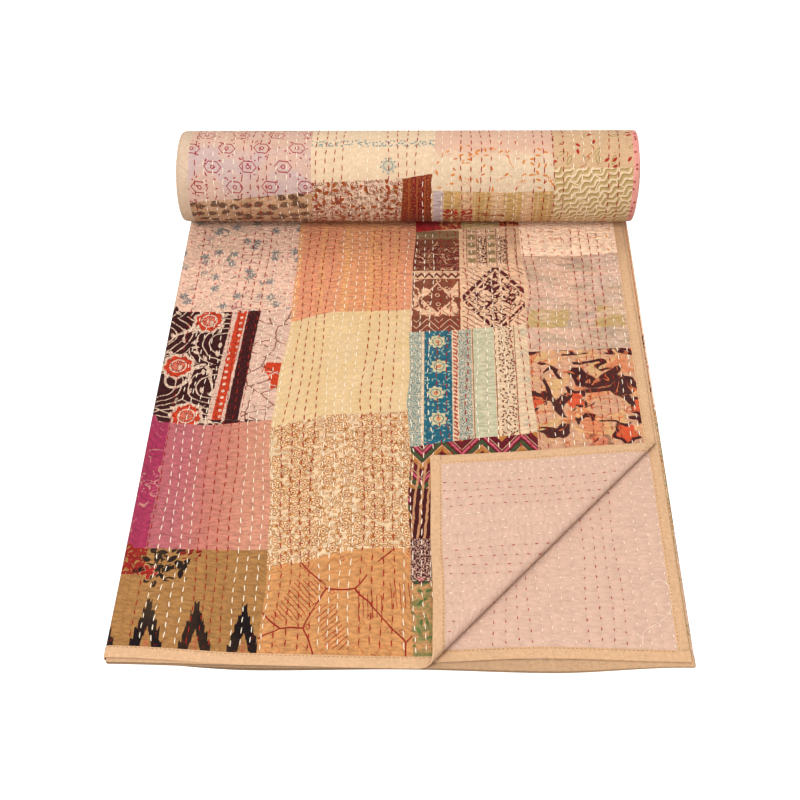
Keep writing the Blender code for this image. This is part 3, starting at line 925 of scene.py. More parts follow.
def makeGroup(name, inputs, body, vectors=("Place",)):
    tree = bpy.data.node_groups.new(name, "ShaderNodeTree")
    for label in vectors:
        tree.interface.new_socket(label, in_out="INPUT", socket_type="NodeSocketVector")
    for label, value in inputs.items():
        tree.interface.new_socket(label, in_out="INPUT",
                                  socket_type="NodeSocketFloat").default_value = value
    begin = tree.nodes.new("NodeGroupInput")
    wires = {label: Wire(tree, begin.outputs[label]) for label in (*vectors, *inputs)}
    results = body(tree, *(wires[label] for label in vectors), wires)
    for label in results:
        tree.interface.new_socket(label, in_out="OUTPUT", socket_type="NodeSocketFloat")
    finish = tree.nodes.new("NodeGroupOutput")
    for label, wire in results.items():
        tree.links.new(wire.socket, finish.inputs[label])
    return tree


motifGroups = {name: makeGroup(name + " print", values, body) for name, (body, values) in motifs.items()}


def quiltedBody(tree, place, rows, s):
    # fine weave, wrinkles that cross the channels, and the drawn-in line of each stitched row, with painted
    # shade in the wrinkles and along the rows
    x, y = split(tree, place)
    row, back = split(tree, rows)
    gap = ((row + 0.5).reckon("FLOORED_MODULO", 1.0) - 0.5).reckon("ABSOLUTE")  # 0 at a row, a half between
    channel = row.reckon("FLOOR")
    shifted = joined(tree, row * 1.15, back / 3.4 + channel * 3.7)
    wrinkle = noise(tree, shifted, 1.0, detail=2.5, bend=0.3) - 0.5
    broad = noise(tree, place, 26.0, detail=2.0) - 0.5
    valley = (1 - gap * 3.5).reckon("MAXIMUM", 0.0)
    valley = valley * valley
    slub = noise(tree, joined(tree, x * 0.12, y), 0.8, detail=1.0)
    slub = slub + noise(tree, joined(tree, x, y * 0.12), 0.8, detail=1.0)
    warp = (x * tau / s["Thread"]).reckon("SINE") * (y * tau / s["Thread"]).reckon("SINE")
    weave = (slub - 1) * 0.5 + warp * 0.16
    quilted = wrinkle * 2.2 - valley * 0.3
    height = quilted * s["Wrinkles"] + broad * 0.6 + weave * s["Weave"]
    # painted shade: the colour darkens where the wrinkles sink and in the valley of each stitched row; the
    # slub and broad terms are the yarn's and the cloth's own uneven colour
    paintedShadeAndSlub = 1 + wrinkle * 0.9 * s["Wrinkles"] - valley * 0.07 * s["Wrinkles"]
    paintedShadeAndSlub = paintedShadeAndSlub + (slub - 1) * s["Slub"] + broad * 0.10
    return {"Height": height, "Shade": paintedShadeAndSlub, "Slub": slub}


quiltedGroup = makeGroup(
    "quilted cotton", {"Thread": 0.9, "Weave": 0.25, "Wrinkles": 1.0, "Slub": 0.16}, quiltedBody, ("Place",
                                                                                                   "Rows")
)


def linear(colour):
    return tuple(part ** 2.2 for part in colour) + (1.0,)


def blended(tree, mask, under, over):
    node = tree.nodes.new("ShaderNodeMix")
    node.data_type = "RGBA"
    feed(tree, node.inputs[0], mask)
    for socket, value in ((node.inputs[6], under), (node.inputs[7], over)):
        feed(tree, socket, value if isinstance(value, Wire) else linear(value))
    return Wire(tree, node.outputs[2])


def motifMask(tree, place, name, part, values):
    node = tree.nodes.new("ShaderNodeGroup")
    node.node_tree = motifGroups[name]
    feed(tree, node.inputs["Place"], place)
    for label, value in values.items():
        node.inputs[label].default_value = value
    return Wire(tree, node.outputs[part])


def placeInMillimetres(tree, uvName, scale=(1000, 1000, 1000)):
    uv = tree.nodes.new("ShaderNodeUVMap")
    uv.uv_map = uvName
    mapping = tree.nodes.new("ShaderNodeMapping")
    mapping.inputs["Scale"].default_value = scale
    tree.links.new(uv.outputs[0], mapping.inputs[0])
    return Wire(tree, mapping.outputs[0])


def dimmed(tree, height, least, slope):
    # darker low down, to stand for the shade between the layers; it isn't a colour of the cloth
    place = tree.nodes.new("ShaderNodeTexCoord")
    parts = tree.nodes.new("ShaderNodeSeparateXYZ")
    tree.links.new(place.outputs["Object"], parts.inputs[0])
    up = (Wire(tree, parts.outputs["Z"]) + Wire(tree, parts.outputs["X"]) * slope) * ((1 - least) / height)
    return up.reckon("ADD", least, clamp=True)


clothLook = {
    "fade": 0.25,
    "faded": (0.93, 0.82, 0.72),
    "toneAndPaintedLight": (0.80, 0.72, 0.68),  # multiplies a cloth's colours; set from its average colour in the photo, so besides the cloth's own colour it holds painted shade, as on the patches low on the roll, and painted light, as on pinkSprigs near the roll
    "wornSize": 70.0,
    "wornFrom": 0.35,
    "roughness": 0.78,
    "slubRoughness": 0.07,
    "bumpDistance": 0.001,
    "gloss": 0.12,
    "sheen": 0.03,
    "sheenRoughness": 0.6,
}


def clothMaterial(name, design):
    material = bpy.data.materials.new(name)
    material.use_nodes = True
    tree = material.node_tree
    shader = tree.nodes["Principled BSDF"]
    place = placeInMillimetres(tree, "cloth")
    rowsMap, rowsScale = design.get("rows", ("rows", 1))
    rows = placeInMillimetres(tree, rowsMap, (rowsScale, 1000, 1))
    colour = design["ground"]
    for laid in design.get("layers", ()):
        mask = None
        for motif, part, values in laid["masks"]:
            found = motifMask(tree, place, motif, part, values)
            mask = found if mask is None else mask * found
        if laid["strength"]:
            mask = mask * laid["strength"]
        colour = blended(tree, mask, colour, laid["ink"])
    finish = tree.nodes.new("ShaderNodeGroup")
    finish.node_tree = quiltedGroup
    feed(tree, finish.inputs["Place"], place)
    feed(tree, finish.inputs["Rows"], rows)
    for label, value in design.get("cloth", {}).items():
        finish.inputs[label].default_value = value
    worn = noise(tree, place, clothLook["wornSize"], detail=3.0) - clothLook["wornFrom"]
    faded = design.get("faded", clothLook["faded"])
    colour = blended(tree, worn * design.get("fade", clothLook["fade"]), colour, faded)
    # the tone multiplies the colour: the cloth's own colour together with painted shade and painted light for
    # where the patch lies
    tonedWithPaintedLight = tree.nodes.new("ShaderNodeVectorMath")
    tonedWithPaintedLight.operation = "MULTIPLY"
    feed(tree, tonedWithPaintedLight.inputs[0], colour)
    tonedWithPaintedLight.inputs[1].default_value = design.get("toneAndPaintedLight", clothLook["toneAndPaintedLight"])
    shaded = tree.nodes.new("ShaderNodeVectorMath")
    shaded.operation = "SCALE"
    tree.links.new(tonedWithPaintedLight.outputs[0], shaded.inputs[0])
    # the colour is scaled by the painted shade of the wrinkles and rows and by the yarn's slub
    paintedShadeAndSlub = Wire(tree, finish.outputs["Shade"])
    if "dimmedBelow" in design:
        paintedShadeAndSlub = paintedShadeAndSlub * dimmed(tree, *design["dimmedBelow"])
    feed(tree, shaded.inputs["Scale"], paintedShadeAndSlub)
    tree.links.new(shaded.outputs[0], shader.inputs["Base Color"])
    bump = tree.nodes.new("ShaderNodeBump")
    bump.inputs["Strength"].default_value = 1.0
    bump.inputs["Distance"].default_value = clothLook["bumpDistance"]
    tree.links.new(finish.outputs["Height"], bump.inputs["Height"])
    tree.links.new(bump.outputs[0], shader.inputs["Normal"])
    roughness = clothLook["roughness"] + Wire(tree, finish.outputs["Slub"]) * clothLook["slubRoughness"]
    feed(tree, shader.inputs["Roughness"], roughness)
    shader.inputs["Specular IOR Level"].default_value = clothLook["gloss"]
    shader.inputs["Sheen Weight"].default_value = clothLook["sheen"]
    shader.inputs["Sheen Roughness"].default_value = clothLook["sheenRoughness"]
    return material


def layer(ink, *masks, strength=None):
    return {"ink": ink, "masks": masks, "strength": strength}


def drawn(motif, part, **values):
    return motif, part, values


def near(left, right, low=-9999, high=9999, **more):
    return drawn("region", "Fill", Left=left, Right=right, Low=low, High=high, **more)


def oneFlower(part, spot, **more):
    return drawn("flower", part, Single=1, AtX=spot[0], AtY=spot[1], **more)


# the prints: a ground colour, then inks laid over it; places in millimetres across and back

cream = (0.96, 0.87, 0.76)
prints = {
    "backing": {"ground": (0.905, 0.765, 0.690), "cloth": {"Wrinkles": 0.42, "Slub": 0.12}, "fade": 0.12,
                "toneAndPaintedLight": (0.67, 0.62, 0.58)},
    "peachSprigs": {
        "toneAndPaintedLight": (0.71, 0.69, 0.67),
        "ground": (0.945, 0.765, 0.665),
        "layers": (
            layer((0.80, 0.70, 0.58), drawn("twig", "Line", Size=46, Width=0.7, Keep=0.9), strength=0.7),
            layer((0.76, 0.28, 0.38), drawn("leaf", "Fill", Spacing=8, Length=2.0, Width=0.9, Keep=0.30)),
            layer((0.52, 0.54, 0.52), drawn("flower", "Fill", Spacing=25, Wander=1, Size=7.0, Petals=6,
                                            Depth=0.45, Keep=0.8),
                  drawn("speckle", "Fill", Size=1.9, Share=0.62, Crisp=12)),
            layer((0.34, 0.36, 0.40), drawn("flower", "Fill", Spacing=25, Wander=1, Size=5.2, Petals=5,
                                            Depth=0.45, Keep=0.8),
                  drawn("speckle", "Fill", Size=1.5, Share=0.42, Crisp=20)),
            layer((0.50, 0.50, 0.46), drawn("twig", "Line", Size=30, Width=1.2, Keep=0.45)),
            layer((0.62, 0.42, 0.44), drawn("twig", "Line", Size=17, Width=0.8, Keep=0.35)),
        ),
    },
    "batik": {
        "toneAndPaintedLight": (0.62, 0.53, 0.51),
        "ground": (0.230, 0.045, 0.060),
        "layers": (
            layer(cream, drawn("ripple", "Line", Spacing=78, Wander=0.55, Pitch=8.6, Width=1.5, Inner=20,
                               Outer=62, Waver=7)),
            layer(cream, drawn("twig", "Line", Size=62, Width=6, Keep=0.8)),
            *(layer(ink, oneFlower(part, spot, Size=size, Petals=8, Depth=0.14, Line=1.8))
              for spot in ((-238, 441), (-266, 370), (-246, 296))
              for ink, part, size in ((cream, "Fill", 21), ((0.86, 0.27, 0.13), "Fill", 17),
                                      (cream, "Ring", 17), (cream, "Rays", 8))),
            layer(cream, drawn("leaf", "Fill", Spacing=14, Length=5, Width=2.2, Keep=0.4)),
            layer((0.32, 0.12, 0.11), drawn("vein", "Line", Size=8, Width=0.7, Keep=0.85)),
            layer((0.95, 0.83, 0.74), near(-223, 999, 291, 470, Slant=0.075, Waver=2.4)),
            layer((0.93, 0.76, 0.68), near(-200, 999, 291, 470),
                  drawn("speckle", "Fill", Size=26, Share=0.4, Crisp=4), strength=0.25),
            layer((0.86, 0.28, 0.13), near(-217, -206, 291, 470, Slant=0.075, Waver=1.6)),
            layer((0.97, 0.86, 0.76), near(-216, -207, 291, 470, Slant=0.075),
                  drawn("flower", "Fill", Spacing=9.5, Wander=0.1, Size=2.1, Petals=0, Depth=0, Keep=1)),
            layer((0.250, 0.040, 0.065), near(-202, -187, 291, 470, Slant=0.06, Waver=2.2)),
            layer((0.86, 0.28, 0.13), near(-166, -130, 362, 376, Waver=5, Slant=0.2)),
            layer((0.86, 0.28, 0.13), near(-154, -130, 336, 361, Waver=5, Slant=-0.3),
                  drawn("vein", "Cell", Size=14, Width=1.0)),
            layer((0.50, 0.26, 0.19), near(-184, 999, 291, 470),
                  drawn("vein", "Line", Size=26, Width=1.2, Bend=5, Keep=0.75)),
            layer((0.40, 0.20, 0.15), near(-184, 999, 291, 470),
                  drawn("stripe", "Line", Pitch=23, Width=0.8, Turn=1.5, Waver=16),
                  drawn("speckle", "Fill", Size=15, Share=0.5, Crisp=30)),
            layer((0.42, 0.20, 0.16), near(-223, -187, 291, 470, Slant=0.07),
                  drawn("vein", "Line", Size=6, Width=0.5, Keep=0.5)),
        ),
        "fade": 0.02,
    },
    "crimson": {
        "toneAndPaintedLight": (0.55, 0.49, 0.42),
        "ground": (0.735, 0.235, 0.420),
        "layers": (
            layer((0.93, 0.70, 0.66), drawn("twig", "Line", Size=26, Width=1.3, Keep=0.42), strength=0.7),
            layer((0.93, 0.70, 0.66), drawn("twig", "Line", Size=11, Width=1.6, Keep=0.8),
                  oneFlower("Fill", (-272, 205), Size=19, Petals=6, Depth=0.35), strength=0.8),
            layer((0.83, 0.47, 0.53), near(-264, 999, 100, 330, Waver=1)),
            layer((0.90, 0.58, 0.53), near(-222, 999, 100, 330, Waver=14, Soft=38)),
            layer((0.94, 0.67, 0.58), near(-180, 999, 100, 330, Waver=10, Soft=40)),
        ),
        "fade": 0.10,
    },
    "ikat": {
        "toneAndPaintedLight": (0.55, 0.41, 0.32),
        "ground": (0.775, 0.625, 0.410),
        "layers": (
            layer((0.70, 0.56, 0.34), drawn("speckle", "Fill", Size=7, Long=5, Share=0.45, Crisp=3),
                  strength=0.5),
            layer((0.66, 0.16, 0.16), near(-290, -262, 92, 140, Waver=6),
                  drawn("speckle", "Fill", Size=5, Share=0.72)),
            layer((0.11, 0.07, 0.09), oneFlower("Fill", (-250, 101), Size=24, Petals=7, Depth=0.8),
                  drawn("vein", "Cell", Size=9, Width=0.7)),
            layer((0.12, 0.08, 0.10), near(-258, -216, 88, 124, Waver=7),
                  drawn("leaf", "Fill", Spacing=10.5, Length=6.5, Width=3.0, Turn=0.5, Spread=2.2,
                        Keep=0.95)),
            layer((0.72, 0.17, 0.17), oneFlower("Fill", (-256, 95), Size=10, Petals=5, Depth=0.6)),
            layer((0.95, 0.82, 0.65), oneFlower("Outline", (-256, 95), Size=10, Petals=5, Depth=0.6,
                                                Line=0.8)),
            layer((0.58, 0.12, 0.13), near(-228, -205, 112, 124, Waver=3),
                  drawn("leaf", "Fill", Spacing=7, Length=4, Width=1.8, Turn=0.4, Spread=1, Keep=0.9)),
            layer((0.12, 0.07, 0.09), drawn("spear", "Fill"), near(-300, 999, 0, 70, Waver=0)),
            layer((0.50, 0.12, 0.13), drawn("spear", "Fill", Start=-248), near(-300, 999, 0, 34),
                  drawn("speckle", "Fill", Size=4, Share=0.10)),
            layer((0.82, 0.50, 0.38), drawn("spear", "Heart"), near(-300, 999, 0, 70),
                  drawn("speckle", "Fill", Size=3, Share=0.6)),
        ),
        "faded": (0.82, 0.70, 0.50),
    },
    "orangeMottle": {
        "toneAndPaintedLight": (0.75, 0.71, 0.62),
        "ground": (0.925, 0.610, 0.440),
        "layers": (
            layer((0.93, 0.66, 0.38), near(-86, -22, -9999, 9999, Waver=22, Soft=14), strength=0.85),
            layer((0.85, 0.42, 0.28), drawn("speckle", "Fill", Size=2.6, Share=0.45, Crisp=9, Long=1.6),
                  strength=0.65),
            layer((0.73, 0.56, 0.53), drawn("speckle", "Fill", Size=1.6, Share=0.40, Crisp=14, Long=1.2),
                  strength=0.85),
            layer((0.95, 0.74, 0.44), drawn("stripe", "Line", Pitch=31, Width=7, Start=-75, Waver=3),
                  drawn("speckle", "Fill", Size=3, Share=0.6), strength=0.55),
            layer((0.90, 0.62, 0.48), drawn("speckle", "Fill", Size=1.4, Share=0.4)),
        ),
        "fade": 0.14,
    },
    "paleYellow": {
        "toneAndPaintedLight": (0.71, 0.63, 0.64),
        "ground": (0.935, 0.825, 0.590),
        "layers": (layer((0.955, 0.86, 0.66), drawn("speckle", "Fill", Size=30, Share=0.5, Crisp=3),
                         strength=0.6),),
        "cloth": {"Weave": 0.6, "Wrinkles": 0.45, "Slub": 0.24},
        "fade": 0.10,
    },
    "ochreFlowers": {
        "toneAndPaintedLight": (0.66, 0.60, 0.50),
        "ground": (0.960, 0.850, 0.735),
        "layers": (
            layer((0.76, 0.48, 0.15), drawn("leaf", "Outline", Spacing=4.9, Length=2.4, Width=1.1,
                                            Keep=0.95, Line=0.9)),
            layer((0.960, 0.850, 0.735), drawn("flower", "Fill", Spacing=18, Wander=0.8, Size=7.4, Petals=6,
                                               Depth=0.3, Keep=1)),
            layer((0.73, 0.45, 0.14), drawn("flower", "Outline", Spacing=18, Wander=0.8, Size=6.8, Petals=6,
                                            Depth=0.3, Keep=1, Line=1.3)),
            layer((0.76, 0.48, 0.16), drawn("flower", "Ring", Spacing=18, Wander=0.8, Size=5.4, Petals=6,
                                            Keep=1, Line=1.0)),
            layer((0.72, 0.36, 0.14), drawn("flower", "Heart", Spacing=18, Wander=0.8, Size=4, Keep=1)),
            layer((0.72, 0.42, 0.14), drawn("flower", "Fill", Spacing=11, Wander=1, Size=2.4, Petals=5,
                                            Depth=0.6, Keep=0.5)),
        ),
        "fade": 0.06,
    },
    "branches": {
        "toneAndPaintedLight": (0.58, 0.48, 0.45),
        "ground": (0.915, 0.690, 0.440),
        "layers": (
            layer((0.86, 0.52, 0.30), drawn("diamond", "Outline", Wide=27, Tall=31, Size=0.55, Line=0.9),
                  drawn("speckle", "Fill", Size=24, Share=0.5, Crisp=20), strength=0.8),
            layer((0.68, 0.15, 0.12), drawn("stripe", "Line", Pitch=4.4, Width=0.8, Turn=0.75, Waver=2),
                  near(-128, -96, 48, 92, Slant=0.55, Waver=6)),
            layer((0.68, 0.15, 0.12), drawn("stripe", "Line", Pitch=4.6, Width=0.8, Turn=0.05, Waver=1.5),
                  near(-42, -14, 52, 76, Waver=5)),
            layer((0.70, 0.17, 0.13), drawn("stripe", "Line", Pitch=4.4, Width=0.8, Turn=-0.8, Waver=2),
                  near(-70, -46, 18, 66, Slant=-0.35, Waver=5)),
            layer((0.68, 0.16, 0.12), drawn("stripe", "Line", Pitch=4.6, Width=0.75, Turn=0.1, Waver=1.5),
                  near(-10, 12, 62, 90, Waver=5)),
            layer((0.64, 0.12, 0.11), drawn("vein", "Line", Size=74, Width=1.5, Bend=8, Keep=0.95)),
            layer((0.68, 0.20, 0.15), drawn("flower", "Outline", Spacing=34, Size=2.6, Petals=5, Keep=0.6,
                                            Line=0.8)),
        ),
        "fade": 0.12,
        "faded": (0.93, 0.76, 0.56),
    },
    "blockPrint": {
        "toneAndPaintedLight": (0.72, 0.59, 0.62),
        "ground": (0.925, 0.800, 0.625),
        "layers": (
            layer((0.50, 0.30, 0.20), near(8, 67, 420, 600, Waver=1)),
            layer((0.42, 0.17, 0.13), near(8, 67, 526, 572, Waver=3),
                  drawn("speckle", "Fill", Size=8, Share=0.5)),
            layer((0.90, 0.76, 0.58), near(10, 66, 528, 570),
                  drawn("twig", "Line", Size=9, Width=0.9, Keep=0.9)),
            layer((0.90, 0.76, 0.58), near(10, 66, 572, 580), drawn("vein", "Line", Size=30, Width=1.2)),
            layer((0.93, 0.80, 0.62), near(10, 65, 430, 512, Waver=1),
                  drawn("speckle", "Fill", Size=26, Share=0.55, Crisp=30)),
            layer((0.58, 0.34, 0.22), near(10, 65, 430, 512),
                  drawn("twig", "Line", Size=15, Width=2.6, Keep=0.9)),
            layer((0.50, 0.28, 0.19), near(14, 64, 446, 512),
                  drawn("diamond", "Fill", Wide=56, Tall=74, StartX=11, StartY=442, Size=0.62)),
            layer((0.93, 0.80, 0.62), near(10, 65, 446, 512),
                  drawn("diamond", "Outline", Wide=56, Tall=74, StartX=11, StartY=442, Size=0.72,
                        Line=1.5)),
            layer((0.93, 0.80, 0.62), near(26, 52, 446, 512),
                  drawn("flower", "Ring", Spacing=12, Size=4.4, Keep=0.8, Line=1.0)),
            layer((0.50, 0.285, 0.200), near(8, 67, 420, 450, Waver=1)),
            layer((0.92, 0.80, 0.62), near(10, 65, 424, 446),
                  drawn("zigzag", "Line", Pitch=27, Height=16, RowPitch=10, Width=1.4)),
            layer((0.58, 0.48, 0.33), near(8, 68, 584, 600, Waver=1)),
            layer((0.90, 0.78, 0.60), near(8, 67, 513, 527)),
            layer((0.42, 0.22, 0.16), near(8, 67, 514, 526),
                  drawn("zigzag", "Line", Pitch=9.5, Height=6, RowPitch=24, Start=516, Width=4.5)),
            layer((0.93, 0.81, 0.62), near(67, 72, 420, 600)),
            *(layer((0.63, 0.56, 0.38), near(left, right, 540, 600),
                    drawn("stripe", "Line", Pitch=14, Width=8.5, Turn=1.571, Waver=2))
              for left, right in ((78, 88), (104, 113))),
            *(layer((0.30, 0.10, 0.11), near(left, right, 540, 590),
                    drawn("speckle", "Fill", Size=2.3, Share=0.46))
              for left, right in ((90, 102), (116, 128))),
            layer((0.45, 0.30, 0.20), near(72, 144, 534, 604),
                  drawn("stripe", "Line", Pitch=12.6, Width=0.9, Start=76.6)),
            layer((0.34, 0.11, 0.12), near(70, 146, 424, 533),
                  drawn("diamond", "Outline", Wide=92, Tall=120, StartX=66, StartY=420, Size=0.92,
                        Line=4.5),
                  drawn("vein", "Cell", Size=12, Width=0.9)),
            layer((0.34, 0.11, 0.12), near(66, 140, 424, 533),
                  drawn("diamond", "Fill", Wide=92, Tall=120, StartX=66, StartY=420, Size=0.78),
                  drawn("twig", "Line", Size=11, Width=3.0, Keep=1)),
            layer((0.36, 0.13, 0.12), near(70, 146, 424, 533),
                  drawn("stripe", "Line", Pitch=6.4, Width=1.1, Turn=0.9, Waver=3),
                  drawn("speckle", "Fill", Size=18, Share=0.55, Crisp=20)),
        ),
        "fade": 0.05,
    },
    "tealStrips": {
        "toneAndPaintedLight": (0.66, 0.58, 0.56),
        "ground": (0.945, 0.850, 0.700),
        "layers": (
            layer((0.58, 0.72, 0.68), near(4, 20.5), drawn("speckle", "Fill", Size=1.7, Share=0.55)),
            layer((0.32, 0.50, 0.50), near(4, 20.5), drawn("speckle", "Fill", Size=1.6, Share=0.3)),
            layer((0.13, 0.42, 0.50), near(23.5, 56)),
            layer((0.62, 0.76, 0.70), near(24, 55.5),
                  drawn("leaf", "Fill", Spacing=5.5, Length=2.6, Width=0.9, Keep=0.7)),
            layer((0.60, 0.30, 0.32), near(24, 55.5),
                  drawn("leaf", "Fill", Spacing=9, Length=1.8, Width=0.8, Keep=0.35)),
            *(layer(ink, oneFlower(part, spot, Size=size, Petals=8, Depth=0.22, Line=1.2))
              for spot in ((39, 409), (41, 371), (37, 331), (40, 294))
              for ink, part, size in (((0.87, 0.84, 0.66), "Fill", 10.5),
                                      ((0.40, 0.55, 0.52), "Ring", 10.5), ((0.86, 0.60, 0.42), "Heart",
                                                                           9))),
            layer((0.75, 0.33, 0.28), near(57.5, 62),
                  drawn("stripe", "Line", Pitch=5, Width=2.4, Turn=1.1)),
            layer((0.58, 0.73, 0.69), near(63.5, 79), drawn("speckle", "Fill", Size=1.7, Share=0.52)),
            layer((0.33, 0.30, 0.34), near(63.5, 79), drawn("speckle", "Fill", Size=1.5, Share=0.3)),
            layer((0.82, 0.84, 0.70), near(81.5, 105.5)),
            layer((0.90, 0.86, 0.72), near(88, 101), drawn("vein", "Line", Size=7, Width=1.6, Keep=1),
                  strength=0.6),
            layer((0.62, 0.42, 0.28), near(80, 109),
                  drawn("stripe", "Line", Pitch=26.6, Width=1.2, Start=80.6, Waver=1)),
            layer((0.45, 0.20, 0.15), near(111, 129),
                  drawn("leaf", "Fill", Spacing=4.1, Length=1.9, Width=0.95, Keep=0.85)),
            layer((0.62, 0.42, 0.28), near(129, 132),
                  drawn("stripe", "Line", Pitch=30, Width=0.9, Start=130.5)),
            layer((0.50, 0.70, 0.66), near(136, 150),
                  drawn("flower", "Outline", Spacing=26, Size=4, Petals=6, Keep=0.8)),
        ),
        "fade": 0.06,
    },
    "darkZigzag": {
        "toneAndPaintedLight": (0.65, 0.49, 0.45),
        "ground": (0.42, 0.12, 0.17),
        "layers": (
            *(layer(ink, drawn("zigzag", "Line", Pitch=44, Height=26, RowPitch=apart, Width=width,
                               Start=first))
              for ink, apart, width, first in (((0.76, 0.56, 0.28), 38, 7, 0),
                                               ((0.27, 0.38, 0.24), 38, 6, 9),
                                               ((0.84, 0.42, 0.52), 38, 4, 18), ((0.92, 0.80, 0.66), 19,
                                                                                 1.2, 4))),
            layer((0.30, 0.11, 0.12), near(10, 36, 96, 200, Waver=1)),
            layer((0.82, 0.66, 0.48), near(10, 36, 140, 235),
                  drawn("stripe", "Line", Pitch=7, Width=2.6, Waver=3, Turn=-0.08)),
            layer((0.90, 0.80, 0.72), near(10, 36, 92, 140),
                  drawn("speckle", "Fill", Size=1.8, Share=0.42)),
        ),
        "fade": 0.04,
    },
    "greenLeaves": {
        "toneAndPaintedLight": (0.62, 0.41, 0.27),
        "ground": (0.845, 0.735, 0.575),
        "layers": (
            layer((0.58, 0.66, 0.48), drawn("speckle", "Fill", Size=9, Share=0.5, Crisp=7)),
            layer((0.36, 0.55, 0.36), drawn("leaf", "Fill", Spacing=9, Length=4.5, Width=1.5, Keep=0.6)),
            layer((0.72, 0.60, 0.45), drawn("twig", "Line", Size=18, Width=1, Keep=0.6)),
        ),
    },
    "redScraps": {
        "ground": (0.72, 0.30, 0.20),
        "layers": (
            layer((0.70, 0.13, 0.17), near(0, 42, 590, 700, Waver=3)),
            layer((0.92, 0.60, 0.40), near(42, 999, 590, 700),
                  drawn("speckle", "Fill", Size=7, Share=0.5, Crisp=8)),
            layer((0.50, 0.15, 0.12), drawn("speckle", "Fill", Size=5, Share=0.36, Crisp=9)),
            layer((0.80, 0.70, 0.50), near(70, 120, 602, 616, Waver=3)),
        ),
    },
    "boldFloral": {
        "toneAndPaintedLight": (0.75, 0.61, 0.47),
        "ground": (0.840, 0.680, 0.600),
        "layers": (
            layer((0.86, 0.75, 0.55), drawn("speckle", "Fill", Size=30, Share=0.24, Crisp=6), strength=0.8),
            layer((0.840, 0.560, 0.430), drawn("speckle", "Fill", Size=46, Share=0.32, Crisp=30)),
            layer((0.88, 0.70, 0.54), drawn("twig", "Line", Size=34, Width=5, Keep=0.7)),
            layer((0.85, 0.36, 0.24), drawn("flower", "Fill", Spacing=62, Size=13, Petals=5, Depth=0.3,
                                            Keep=0.75)),
            layer((0.27, 0.10, 0.12), drawn("flower", "Outline", Spacing=62, Size=15, Petals=5, Depth=0.3,
                                            Keep=0.75, Line=4.5),
                  drawn("speckle", "Fill", Size=16, Share=0.6, Crisp=20)),
            layer((0.27, 0.10, 0.12), drawn("speckle", "Fill", Size=33, Share=0.25, Crisp=50, Long=1.7)),
            layer((0.27, 0.10, 0.12), drawn("twig", "Line", Size=58, Width=7.5, Keep=0.5)),
            layer((0.80, 0.45, 0.30), drawn("twig", "Line", Size=25, Width=1.6, Keep=0.5)),
        ),
        "fade": 0.08,
    },
    "greyMauve": {
        "toneAndPaintedLight": (0.80, 0.68, 0.60),
        "ground": (0.845, 0.715, 0.635),
        "layers": (
            layer((0.750, 0.670, 0.590), drawn("speckle", "Fill", Size=17, Long=3.2, Share=0.46, Crisp=6)),
            layer((0.66, 0.60, 0.56), drawn("twig", "Line", Size=80, Width=4, Keep=0.5), strength=0.6),
            layer((0.745, 0.660, 0.450), near(145, 192, 432, 460, Waver=9, Soft=2, Slant=0.3),
                  strength=0.9),
            layer((0.735, 0.640, 0.430), near(228, 262, 434, 468, Waver=9, Soft=2, Slant=0.2),
                  strength=0.9),
            layer((0.89, 0.79, 0.75), drawn("speckle", "Fill", Size=22, Long=2.5, Share=0.30, Crisp=8),
                  strength=0.5),
        ),
        "fade": 0.10,
    },
    "pinkSprigs": {
        # painted light: this tone is raised to lift the shade that falls here near the roll
        "toneAndPaintedLight": (1.00, 1.02, 0.93),
        "ground": (0.945, 0.790, 0.700),
        "layers": (
            layer((0.55, 0.22, 0.38), drawn("twig", "Line", Size=34, Width=1.1, Keep=0.3)),
            layer((0.75, 0.25, 0.25), drawn("leaf", "Outline", Spacing=13, Length=3.6, Width=1.4,
                                            Keep=0.42)),
            layer((0.86, 0.50, 0.26), drawn("leaf", "Fill", Spacing=17, Length=3.2, Width=1, Keep=0.42)),
        ),
    },
    "plainTan": {"ground": (0.930, 0.775, 0.610), "fade": 0.15, "toneAndPaintedLight": (0.61, 0.65, 0.77)},
    "lilac": {
        "toneAndPaintedLight": (0.64, 0.66, 0.62),
        "ground": (0.850, 0.705, 0.690),
        "layers": (
            layer((0.92, 0.72, 0.63), drawn("speckle", "Fill", Size=46, Share=0.40, Crisp=5), strength=0.8),
            layer((0.92, 0.72, 0.62), near(-999, 999, -9999, 828, Waver=12, Soft=14), strength=0.8),
            layer((0.90, 0.80, 0.80), drawn("speckle", "Fill", Size=1.6, Share=0.4), strength=0.3),
            layer((0.66, 0.15, 0.25), drawn("hexagon", "Line", Pitch=44, RowPitch=24, Size=10.5, Line=1.3)),
            layer((0.66, 0.15, 0.25), drawn("leaf", "Fill", Spacing=12.5, Wander=0.8, Length=1.9, Width=0.9,
                                            Keep=0.8)),
        ),
        "fade": 0.06,
    },
    "oliveBlobs": {
        # painted shade: this tone is darkened for the shade on the underside of the roll
        "toneAndPaintedLight": (0.53, 0.41, 0.42),
        "ground": (0.885, 0.760, 0.560),
        "layers": (
            layer((0.95, 0.87, 0.72), drawn("vein", "Line", Size=15, Width=1.2, Keep=0.8)),
            layer((0.42, 0.33, 0.24), drawn("leaf", "Fill", Spacing=14.5, Wander=0.6, Length=7, Width=4.4,
                                            Spread=1, Keep=1)),
            layer((0.72, 0.58, 0.42), drawn("leaf", "Fill", Spacing=14.5, Wander=0.6, Length=7, Width=4.4,
                                            Spread=1, Keep=1),
                  drawn("speckle", "Fill", Size=1.7, Share=0.36)),
            layer((0.45, 0.18, 0.16), drawn("flower", "Heart", Spacing=14.5, Wander=0.6, Size=4, Keep=0.8)),
        ),
    },
    "garland": {
        "toneAndPaintedLight": (0.66, 0.67, 0.86),
        "ground": (0.955, 0.820, 0.600),
        "layers": (
